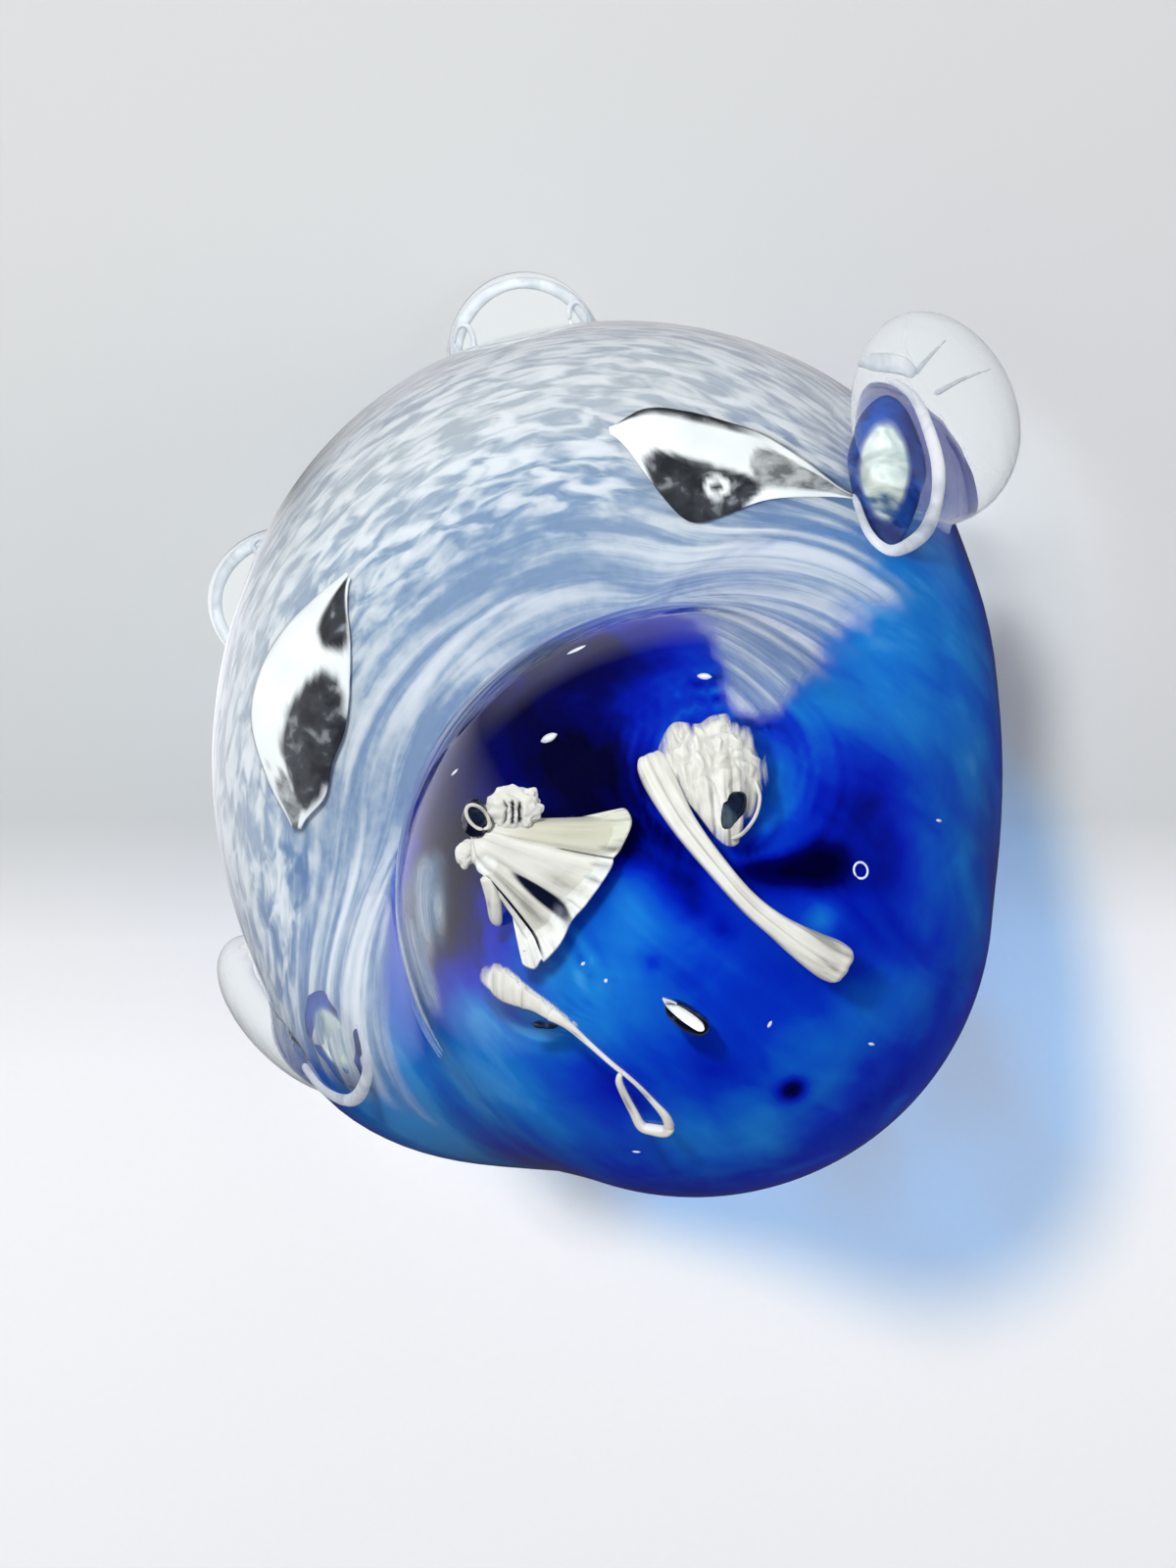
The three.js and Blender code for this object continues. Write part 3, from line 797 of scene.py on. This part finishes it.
def make_beak(rows=60, cols=240):
    turn = basis(BEAK_ROOT, BEAK_TIP, Vector((1, 0, 0)))
    length = (BEAK_TIP - BEAK_ROOT).length
    bm = bmesh.new()
    layers = mark_layers(bm, ("dark_gap_and_crease_shade", "along", "across", "shaded_side", "thin"))
    rings = []
    for i in range(rows):
        u = i / (rows - 1)
        fan = (1 - u) ** 1.15
        close = sqrt(1 - smooth_step(0.9, 1, u) * 0.98)
        fade = 1 - smooth_step(0.7, 0.92, u)
        wide, tall = lerp(*BEAK_WIDTHS, fan) * close, lerp(*BEAK_HEIGHTS, fan) * close
        ring = []
        for a in circle(cols)[:-1]:
            upper = a > pi
            v = (a - pi) / pi if upper else 1 - a / pi
            cut = fade * sum(depth * bell(v, place, width * (0.6 + 0.7 * fan)) for place, width, depth in PLEATS)
            height = tall * abs(sin(a)) ** 0.7 * (1 + 0.035 * sin(v * 21 + 2 * u) - cut)
            local = Vector((wide * cos(a) * (1 - 0.5 * cut), height if upper else -height, u * length))
            point = clear_of_head(turn @ local + BEAK_ROOT)
            lift = (point - HEAD).length - HEAD_RADIUS
            dark_gap_and_crease_shade = max(smooth_step(1.15, 0.8, oval(u, v, *slot)) for slot in SLOTS)
            # One side of the beak is marked for painted shade
            ring.append(put(bm, layers, point, {
                "dark_gap_and_crease_shade": dark_gap_and_crease_shade if upper else 0, "along": u * length, "across": v * 9,
                "shaded_side": 0.75 * smooth_step(0.32, 0.27, v) * smooth_step(0.95, 0.6, u),
                "thin": 0.42 * smooth_step(0.8, -0.3, lift) * smooth_step(0.45, 0.1, u)}))
        rings.append(ring)
    return sleeve("beak_pleats", bm, rings)


dress(make_beak(), ivory_glass, IVORY, "beak")

# Knot at the beak's tip: a slit cap, a ring over a dark eyelet, a bead and a drip
CAP_SLITS = ((-0.18, 0.09), (0.12, 0.08), (0.45, 0.06))
cap = blob("cap", (-0.7, -17.8, 92.5), (2, 1.6, 1), -0.82, 0.3, 2, CAP_SLITS)
tip = blob("tip", (4.3, -17.9, 91.9), (1.1, 0.7, 0.6), 0.6, 0.2, 5)
drip = tube("drip", [(4.4, -15.8, 92.6, 0.5), (5.4, -14.1, 92.4, 0.55), (6.5, -12.7, 91.6, 0.5),
                     (6.9, -12, 90.9, 0.3)])
loop = [(1.3 + 0.62 * cos(a) - 0.2 * sin(a), -19.7 + 0.95 * sin(a) + 0.5 * cos(a), 93.7, 0.14)
        for a in circle(12, 0.6)]
dress(join("beak_knot", [cap, tip, drip, tube("ring", loop, 8)]), ivory_glass, IVORY)
dress(blob("beak_eyelet", (1.7, -19.4, 92.7), (1.5, 1, 0.9), 0.9, 0.1, 3), dark_glass, CLEAR)
dress(blob("beak_bead", (3.5, -16.6, 93), (0.95, 0.8, 0.8), 0.3, 0.06, 8), clear_glass, CLEAR)


def drawn_way(x, y):
    """How far a place on the head lies down and across the photo, the way the eyes' glass was drawn."""
    return 0.7 * x + 0.65 * y, -0.7 * x + 0.71 * y


def nothing(*_):
    return 0


def on_head(name, rim, centre, height, sink, fold=nothing, lines_and_crease_shade=nothing, wispy=0, fade=nothing,
            rows=18, count=120):
    """Slab on the head inside a smooth closed rim of x, y points."""
    edge = flow(list(rim) + [rim[0]], count + 1)[:-1]

    def at(i, j):
        share = i / (rows - 1)
        x, y = (lerp(middle, end, share) for middle, end in zip(centre, edge[j]))
        along, across = drawn_way(x, y)
        lift = height * sqrt(max(0, 1 - share ** 2.5)) + fold(x, y) * (1 - share ** 6)
        thin = wispy * smooth_step(0.55, 1, share) + fade(across)
        marks = {"dark_gap_and_crease_shade": lines_and_crease_shade(x, y), "along": along, "across": across, "thin": thin}
        return head_spot(x, y, lift), head_spot(x, y, sink), marks

    return slab(name, rows, count, at, ring=True)


# Right eye: strands that run up into crumpled lumps, with a dark drop and a bright rim in it
def crumple(x, y):
    """How far a place is in the lumps, and how far it is from the crease between two of them."""
    place = Vector((x, y, 3))
    near_two = noise.voronoi((place + 0.9 * noise.noise_vector(place * 0.8)) * 0.75)[0]
    return smooth_step(-12.6, -15, drawn_way(x, y)[0]), near_two[1] - near_two[0]


def strands(x, y):
    """Folds drawn along the patch, or lumps."""
    along, across = drawn_way(x, y)
    lumps, crease = crumple(x, y)
    drawn = 0.35 * noise.noise(Vector((across, 0.2 * along, 1)) * 2.1)
    drawn += 0.3 * noise.fractal(Vector((x, y, 2)) * 0.9, 1, 2, 3)
    return lerp(drawn, 0.65 * smooth_step(0, 0.45, crease) - 0.3, lumps)


def between(x, y):
    """Dark lines between the strands, and painted shade in the creases between the lumps."""
    along, across = drawn_way(x, y)
    lumps, crease = crumple(x, y)
    lines = noise.noise(Vector((across, 0.16 * along, 4)) * 1.7)
    # Painted shade: the creases between lumps are marked dark
    return lerp(0.6 * smooth_step(0.26, 0.5, lines), 0.22 * smooth_step(0.12, 0, crease), lumps)


def clearing(across):
    """How far the patch goes clear to its far side."""
    return 0.58 * smooth_step(3.2, 5, across)


EYE_RIM = [(-11.8, -12.8), (-12.9, -12.6), (-14, -11.4), (-15.1, -10.9), (-16.5, -9.6), (-17.1, -8.2),
           (-16.4, -7.1), (-16.1, -5.6), (-14.7, -4.7), (-13, -4.5), (-11.4, -4.7), (-10, -5), (-9.6, -6.2),
           (-9.8, -8.4), (-9.9, -10.4), (-10.4, -12.3)]
PUPIL_RIM = [(-12.2, -7.4), (-12.9, -6.9), (-13.1, -6.2), (-12.2, -5.7), (-11, -5.7), (-10.2, -6.1),
             (-10.6, -6.8), (-11.4, -7.3)]
PUPIL_LINE = [(-13.9, -6.4), (-13.4, -5.5), (-12.3, -5), (-10.9, -5), (-10.1, -5.4)]
right_eye = on_head("right_eye_patch", EYE_RIM, (-12.9, -8.4), 0.55, -0.5, strands, between, 0.6, clearing,
                    rows=44, count=180)
dress(right_eye, ivory_glass, IVORY, "right_eye")
dress(on_head("right_eye_drop", PUPIL_RIM, (-11.7, -6.4), 0.95, 0.2), dark_glass, CLEAR)
dress(tube("rim", thread([(x, y, 0.14) for x, y in PUPIL_LINE], 0.85), 8, 30), ivory_glass, IVORY)


# Right brow: a drawn ribbon with fine lines along it
def ribbon(name, line, height, sink, count=80, cols=25):
    """Strip on the head through points given as x, y and half width."""
    run = flow(line, count)

    def at(k, j):
        x, y, half = run[k]
        a, b = run[max(k - 1, 0)], run[min(k + 1, count - 1)]
        ahead = Vector((b[0] - a[0], b[1] - a[1])).normalized()
        close = sqrt(min(1, (min(k, count - 1 - k) + 0.05) / 5))
        s = 2 * j / (cols - 1) - 1
        reach = half * s * (0.55 + 0.45 * close)
        place = x - ahead.y * reach, y + ahead.x * reach
        lift = height * sqrt(max(0, 1 - abs(s) ** 3)) * close + 0.05 * cos(7 * s + 0.02 * k)
        dark_gap_and_crease_shade = 0.4 * bell(s, -0.15 + 0.1 * sin(k * 0.05), 0.05) * smooth_step(70, 40, k)
        marks = {"dark_gap_and_crease_shade": dark_gap_and_crease_shade, "along": k * 0.25, "across": s * half * 1.3}
        return head_spot(*place, lift), head_spot(*place, sink), marks

    return slab(name, count, cols, at)


RIBBON = [(-10, -12.8, 1.1), (-9.4, -11.4, 1.25), (-8.6, -8.5, 0.95), (-8.2, -5, 0.78), (-8, -1.8, 0.76),
          (-8.2, 1, 0.88), (-8.6, 3.8, 1.25), (-9, 6, 1.5), (-9.3, 7.5, 1.3)]
dress(ribbon("right_brow_ribbon", RIBBON, 0.75, -0.4), ivory_glass, IVORY, "right_brow")

# Left eye and brow: a leaf-shaped bead that runs out into a thread and a loop
LEAF_RIM = [(10.5, -10.2), (9.7, -10.2), (9, -9.7), (8.7, -8.8), (8.5, -7.5), (8.1, -6), (7.9, -4.8),
            (7.7, -3.6), (8.2, -3.8), (8.9, -4.7), (9.4, -5.8), (10.1, -6.6), (11, -7.6), (11.3, -8.6),
            (11.3, -9.6)]
dress(on_head("left_eye_leaf", LEAF_RIM, (9.5, -7.6), 0.3, -0.5, wispy=0.8), ivory_glass, IVORY, "left_eye")
STEM = [(8.5, -5.4, 0.6), (8.1, -4, 0.34), (7.95, -2, 0.22), (7.85, 0, 0.2), (7.75, 1.3, 0.2)]
INNER = [(7.75, 1, 0.18), (7.72, 2.8, 0.18), (7.95, 4.8, 0.24), (8.2, 6.2, 0.34), (8.7, 7.2, 0.42)]
OUTER = [(7.85, 1.1, 0.18), (8.5, 1.6, 0.28), (9, 2.6, 0.3), (9.7, 4.4, 0.34), (10.2, 5.8, 0.42),
         (9.8, 6.6, 0.48), (9.2, 7.3, 0.5), (8.6, 7.2, 0.36)]
threads = [tube("thread", thread(line, 0.12)) for line in (STEM, INNER, OUTER)]
dress(join("left_brow_thread", threads), ivory_glass, IVORY, "left_brow")

# Air trapped in the head: a long drop with a dark halo, a lens, a ring and scattered seeds; the drop, the ring
# and the seeds are painted bright as a painted reflection
DROP_RIM = [(1.4, -1.3), (1, -0.4), (0.8, 0.8), (0.7, 1.9), (0.9, 2.5), (1.3, 2.3), (1.5, 1.4), (1.6, 0.5),
            (1.6, -0.6)]
HALO_RIM = [(1.5, -0.9), (0.8, 0), (0.5, 1.3), (0.5, 2.6), (1.3, 2.8), (1.9, 2), (2.1, 0.8), (2, -0.3)]
LENS_RIM = [(10.4, -5.4), (9.9, -5.3), (9.3, -4.8), (8.9, -4.3), (9.3, -4.3), (9.9, -4.7), (10.3, -5)]
dress(on_head("air_drop", DROP_RIM, (1.2, 1), -0.35, -0.9), painted_air_reflection, CLEAR)
dress(on_head("air_drop_halo", HALO_RIM, (1.3, 1.8), -1.3, -1.6), dark_glass, CLEAR)
dress(on_head("air_lens", LENS_RIM, (9.7, -4.85), 0.25, -0.5), dark_glass, CLEAR)
SEED_DEPTH = 0.9
SEEDS = [(-16.3, -12.1, 84, 1.1, 0.32), (-10, -18.2, 76.2, 1.6, 0.25), (2.9, -19, 79, 0.9, 0.16),
         (-4.9, -17.2, 84.4, 1.4, 0.4), (5.5, -15.4, 86, 0.5, 0.12), (-2.5, 6, 97.4, 0.6, 0.14),
         (12, 8, 91.8, 0.7, 0.12), (-6, 14, 94.8, 0.7, 0.12), (-20, 8, 86.5, 0.8, 0.13),
         (4, -6.5, 95, 0.4, 0.12), (3.6, -4.6, 95.8, 0.35, 0.14)]


def seeds():
    """A ring and small drawn-out bubbles, each given as x, y, z, length and radius."""
    ring = thread([(-15.1 + 0.5 * cos(a), 3.8 + 0.62 * sin(a), 0.09) for a in circle(14)], -0.4)
    made = [tube("seed", ring, 8, 48)]
    for k, (x, y, z, length, radius) in enumerate(SEEDS):
        out = (Vector((x, y, z)) - HEAD).normalized()
        side = out.cross(Vector((0.3, sin(k), 1))).normalized()
        here = HEAD + out * (HEAD_RADIUS - SEED_DEPTH)
        points = [(*(here + side * length * (s - 0.5)), radius * sin(pi * (0.12 + 0.76 * s)))
                  for s in (0, 0.25, 0.5, 0.75, 1)]
        made.append(tube("seed", points, 8, 16))
    return join("air_seeds", made)


dress(seeds(), painted_air_reflection, CLEAR)


# Silvery folds inside the two flippers' upper ends, whose silvery green and deep blue are a painted view of the
# room and the blue body seen through the glass
def leaf(name, middle, ends, sides, thickness=0.25, rows=14, around=60):
    """Curved oval film through a middle, two ends and two sides, in millimetres."""
    middle, ends, sides = Vector(middle), [Vector(p) for p in ends], [Vector(p) for p in sides]
    longer, shorter = (ends[1] - ends[0]) / 2, (sides[1] - sides[0]) / 2
    sag, droop = (ends[0] + ends[1]) / 2 - middle, (sides[0] + sides[1]) / 2 - middle
    facing = longer.cross(shorter).normalized()

    def at(i, j):
        r, a = i / (rows - 1), 2 * pi * j / around
        u = r * cos(a)
        v = r * sin(a) * (1 - 0.25 * abs(u))
        point = middle + longer * u + shorter * v + sag * u * u + droop * v * v
        plump = facing * thickness * sqrt(max(0, 1 - r * r))
        wave = facing * 0.25 * noise.noise(point * 0.5)
        return point + plump + wave, point - plump + wave - facing * 0.02, {"rim": smooth_step(0.52, 0.66, r)}

    return slab(name, rows, around, at, ring=True)


FOLDS = {"right": ((-37, -4.6, 54.2), ((-42.3, -7, 46.2), (-32.2, -2.2, 62.6)),
                   ((-35.2, -6.5, 50.2), (-39.6, -1.4, 52.6))),
         "left": ((31.7, -4.2, 58.7), ((30.3, -8, 56.2), (33.7, 0, 59.2)),
                  ((28.4, -3.6, 63.6), (34.4, -5.2, 54.6)))}
for name, places in FOLDS.items():
    dress(leaf(name + "_flipper_fold", *places), painted_see_through_film, CLEAR)


def on_skin(pieces, points, lift):
    """Brings x, y, z and radius points onto the nearest of some pieces' surfaces."""
    skins = [BVHTree.FromPolygons([v.co / MM for v in mesh.vertices], [p.vertices for p in mesh.polygons])
             for mesh in (piece.data for piece in pieces)]
    found = []
    for x, y, z, radius in points:
        hits = [skin.find_nearest(Vector((x, y, z))) for skin in skins]
        place, normal, _, _ = min(hits, key=lambda hit: hit[3])
        found.append((*(place + normal * lift), radius))
    return found


# Painted highlights: milky lips where the flippers are pressed on, and a lip and two rays on the right one,
# standing in for the light their rims and edges catch
RIGHT_LIP = [(-43.4, -7.7, 44, 0.3), (-43.8, -5.4, 46.3, 0.5), (-42.6, -3.1, 49.6, 0.6),
             (-40.6, -0.8, 52.4, 0.65), (-37.9, 0.9, 54.2, 0.65), (-34.9, 0.3, 59, 0.65),
             (-32.4, -1.9, 63.5, 0.6), (-32, -3.7, 61.7, 0.45), (-33.2, -5.3, 55.9, 0.3)]
LEFT_LIP = [(27.8, -5.9, 64.4, 0.3), (29.1, -3.7, 65.3, 0.5), (31.6, -1.6, 64, 0.6), (35.3, 0.1, 59.9, 0.65),
            (37.6, -1, 56, 0.6), (37.9, -4, 54.8, 0.4)]
HIGHLIGHT_STREAKS = [[(-43, -9, 38, 0.5), (-43.9, -8.5, 41, 1), (-45.3, -7.2, 42, 1), (-45.4, -5.8, 43, 0.5)],
         [(-45.6, -5.8, 42.5, 0.3), (-47.6, -4.6, 38, 0.18), (-49.6, -3.2, 33, 0.08)],
         [(-45.5, -3.6, 44.3, 0.3), (-48.4, -1, 38.5, 0.18), (-51, 2.4, 31, 0.08)]]
for name, line in (("right", RIGHT_LIP), ("left", LEFT_LIP)):
    lip = tube(name + "_flipper_lip", on_skin((flippers[name], cutter), line, 0.05), count=90)
    dress(lip, painted_highlight_glass, CLEAR)
highlight_streaks = [tube("wisp", on_skin((flippers["right"],), line, 0.02), 10, 40) for line in HIGHLIGHT_STREAKS]
dress(join("right_flipper_wisps", highlight_streaks), painted_highlight_glass, CLEAR)

# Painted highlight: a milky rim folded into each foot, with an eyelet at either end, standing in for the light
# the foot's rounded rim catches
ARCH_SPREAD, ARCH_STEP = 78, 12
ARCH_WIDE, ARCH_LONG, ARCH_RISE = 7.3, 8, 0.4
HIGHLIGHT_LOOP_OUT, HIGHLIGHT_LOOP_AHEAD, HIGHLIGHT_LOOP_RISE = 6, 3.6, 1.2
HIGHLIGHT_LOOP_WIDE, HIGHLIGHT_LOOP_LONG, HIGHLIGHT_LOOP_THICK = 1.1, 1.7, 0.3
for name, (foot, centre, aim, across) in feet.items():
    arch = []
    for angle in range(-ARCH_SPREAD, ARCH_SPREAD + 1, ARCH_STEP):
        a = radians(angle)
        place = centre + across * ARCH_WIDE * sin(a) + aim * ARCH_LONG * cos(a) + Vector((0, 0, ARCH_RISE))
        arch.append((*place, 0.55 + 0.25 * abs(sin(a))))
    highlight_lines = [tube("fold", arch, count=70)]
    for hand in (-1, 1):
        middle = centre + across * HIGHLIGHT_LOOP_OUT * hand + aim * HIGHLIGHT_LOOP_AHEAD + Vector((0, 0, HIGHLIGHT_LOOP_RISE))
        eyelet = [(*(middle + across * HIGHLIGHT_LOOP_WIDE * cos(t) + aim * HIGHLIGHT_LOOP_LONG * sin(t)), HIGHLIGHT_LOOP_THICK)
                  for t in circle(12)]
        highlight_lines.append(tube("fold", eyelet))
    dress(join(name + "_foot_highlight", highlight_lines), painted_highlight_glass, CLEAR)
    dress(foot, clear_glass, CLEAR, name + "_foot")
for name, flipper in flippers.items():
    dress(flipper, flap_glass, CLEAR, name + "_flipper")


# Two flat air pockets on the shoulders, bright with a painted reflection of the room, with grey and dark patches
# of painted reflection
def pocket(name, start, end, shape, painted_grey_reflection, painted_dark_reflection, depth=1.3, rows=70, cols=21):
    """Flat lens under the skin between two bearings, its middle and half height given by its shape."""
    run = flow(shape, rows)

    def at(i, j):
        s, t = i / (rows - 1), 2 * j / (cols - 1) - 1
        bearing = radians(lerp(start, end, s))
        centre, half = run[i]
        z = centre + half * t
        plump = sqrt(max(0, 1 - t * t)) * min(1, half / 1.5)
        wave = 0.12 * noise.fractal(Vector((s * 9, t * 3, depth)), 1, 2, 3)
        top = shoulder_spot(bearing, z, depth - 0.25 * plump)
        low = shoulder_spot(bearing, z, depth + 0.05 + 0.15 * plump)
        return top, low, {"painted_grey_reflection": painted_grey_reflection(s, t, wave), "painted_dark_reflection": painted_dark_reflection(s, t, wave)}

    return slab(name, rows, cols, at)


# Painted reflections on the right pocket: a grey block, and a dark mottled patch with a pale ring, a dark dot
# and a dark line
def right_painted_grey_reflection(s, t, wave):
    block = smooth_step(0.6, 0.62, s + 0.2 * wave) * smooth_step(0.8, 0.6, t)
    return block * smooth_step(-0.55, -0.4, t + wave)


def right_painted_dark_reflection(s, t, wave):
    patch = smooth_step(1.1, 0.9, oval(s, t, 0.38, 0.25, 0.66, 0.62) + wave)
    hole = smooth_step(0.75, 1, oval(s, t, 0.46, 0.065, 0.5, 0.24))
    dot = smooth_step(1.2, 0.8, oval(s, t, 0.46, 0.028, 0.5, 0.1))
    line = smooth_step(-0.7, -0.85, t + 0.5 * wave) * smooth_step(0.02, 0.06, s) * smooth_step(0.7, 0.5, s)
    return max(patch * hole, dot, line)


# Painted reflections on the left pocket: a grey block and two dark patches
def left_painted_grey_reflection(s, t, wave):
    return smooth_step(0.8, 0.84, s + wave) * smooth_step(0.7, 0.5, abs(t))


def left_painted_dark_reflection(s, t, wave):
    wedge = smooth_step(1.1, 0.8, oval(s, t, 0.13, 0.13, 0.4, 0.6) + wave)
    patch = smooth_step(1.1, 0.9, oval(s, t, 0.62, 0.3, 0.6, 0.5) + wave)
    return max(wedge, patch)


RIGHT_POCKET = [(48.2, 0.3), (49.4, 3.2), (50.8, 4.4), (51.4, 4.2), (51.8, 3.5), (53.4, 2.3), (55.6, 0.3)]
LEFT_POCKET = [(49.9, 0.3), (50.8, 2.1), (51, 3.3), (51, 3.9), (51.2, 3.6), (52.6, 2.1), (53.2, 0.3)]
dress(pocket("right_air_pocket", -44, -78, RIGHT_POCKET, right_painted_grey_reflection, right_painted_dark_reflection), painted_air_reflection, CLEAR)
dress(pocket("left_air_pocket", 2, 44, LEFT_POCKET, left_painted_grey_reflection, left_painted_dark_reflection), painted_air_reflection, CLEAR)

bpy.data.objects.remove(cutter)

# Camera at the photo's angle: above the head, a little to the front and right, rolled
lens = bpy.data.cameras.new("camera")
lens.sensor_width = 36
lens.lens = 54
lens.clip_start = 0.01
camera = bpy.data.objects.new("camera", lens)
EYE = Vector((-33.372, -64.322, 253.814))
RIGHT = Vector((-0.69954623, 0.70816604, 0.09558207))
UP = Vector((-0.69602994, -0.64497142, -0.3155221))
BACK = Vector((-0.16179434, -0.28725028, 0.94409209))
camera.matrix_world = Matrix((RIGHT, UP, BACK)).transposed().to_4x4()
camera.location = (EYE + SHIFT) * MM
scene.collection.objects.link(camera)
scene.camera = camera

# Directions on the floor as the photo shows them, and how bright the room is to reflections
TO_VIEWER = (0.7335, 0.6797, 0)
TO_FAR = (-0.73, -0.68, 0)
TO_LEFT = (0.79, -0.613, 0)
BRIGHT_ROOM = (1.3, 1.3, 1.36)
FLOOR_HALF = 1.5
FLOOR_DROP = 0.0003


def left_glint(n, where):
    """Bright side of the room, at the photo's left."""
    return n.scale(n.toward(where, TO_LEFT), 4.5, -3.5, clamp=True)


@material
def floor_paper(n):
    """Pale grey at the far side, dipping to a darker band of painted shadow, then running to white, and brighter
    in the glass's reflections than by itself.
    """
    place = n.place()
    ahead = n.scale(n.toward(place, TO_VIEWER), 18, 0.02, clamp=True)
    # The dip at 0.45 is a band of painted shadow
    tone = n.ramp(ahead, (0, 0.63, 0.645, 0.65), (0.45, 0.6, 0.615, 0.615), (0.72, 0.84, 0.845, 0.86),
                  (1, 0.91, 0.92, 0.945))
    tone = n.blend(n.scale(n.speckle(900, 2), 0.06), tone, (0.55, 0.57, 0.6, 1))
    paper = n.add("BsdfDiffuse", Color=tone)
    shine = n.add("Emission", Color=(0.93, 0.95, 0.97, 1), Strength=0.95)
    flat = n.add("VectorMath", place, out="Vector", props={"operation": "NORMALIZE"})
    away = n.add("VectorMath", place, out="Value", props={"operation": "LENGTH"})
    glow = n.scale(n.toward(flat, TO_FAR), 2, -0.6, clamp=True)
    glow = n.scale(glow, n.scale(away, -25, 2.9, clamp=True))
    glint = n.calc("MAXIMUM", left_glint(n, flat), n.scale(glow, 0.4, 0.03))
    mirrored = n.add("Emission", Color=(*BRIGHT_ROOM, 1), Strength=glint)
    return n.mix(n.ray("Transmission"), n.mix(n.ray("Glossy"), paper, mirrored), shine)


bm = bmesh.new()
bmesh.ops.create_grid(bm, x_segments=8, y_segments=8, size=FLOOR_HALF)
floor = mesh_object("floor", bm)
floor.location.z = -FLOOR_DROP
floor.data.materials.append(floor_paper)

# Light: an even pale room that is dark overhead to reflections, and two soft lamps
world = bpy.data.worlds.new("studio")
scene.world = world
world.use_nodes = True
n = Nodes(world.node_tree, "World")
look = n.add("TexCoord", out="Generated")
height = n.add("SeparateXYZ", look, out="Z")
room = n.ramp(height, (0, *BRIGHT_ROOM), (0.3, 0.8, 0.8, 0.86), (0.6, 0.2, 0.2, 0.24),
              (0.9, 0.012, 0.012, 0.03))
mirror = n.add("Background", Color=room, Strength=n.calc("MAXIMUM", left_glint(n, look), 0.04))
even = n.add("Background", Color=(1, 0.985, 0.965, 1), Strength=0.33)
sky = n.ramp(height, (0, 0.92, 0.94, 0.96), (0.6, 0.58, 0.6, 0.64))
beyond = n.add("Background", Color=sky, Strength=1)
wall = n.add("Background", Color=(0.8, 0.83, 0.855, 1), Strength=1)
seen = n.mix(n.ray("Transmission"), n.mix(n.ray("Glossy"), even, mirror), beyond)
n.feed(n.end, n.mix(n.ray("Camera"), seen, wall))

LAMP_AIM = Vector((0, 0, 0.05))
for name, place, size, power in (("key", (-0.13, -0.615, 0.78), 0.1, 8.4), ("fill", (-0.4, 0.3, 0.5), 0.4, 0.7)):
    lamp = bpy.data.lights.new(name, "AREA")
    lamp.shape = "DISK"
    lamp.size = size
    lamp.energy = power
    holder = bpy.data.objects.new(name, lamp)
    holder.location = place
    holder.rotation_euler = (LAMP_AIM - Vector(place)).to_track_quat("-Z", "Y").to_euler()
    holder.visible_glossy = False
    holder.visible_camera = False
    scene.collection.objects.link(holder)

scene.view_settings.view_transform = "Standard"
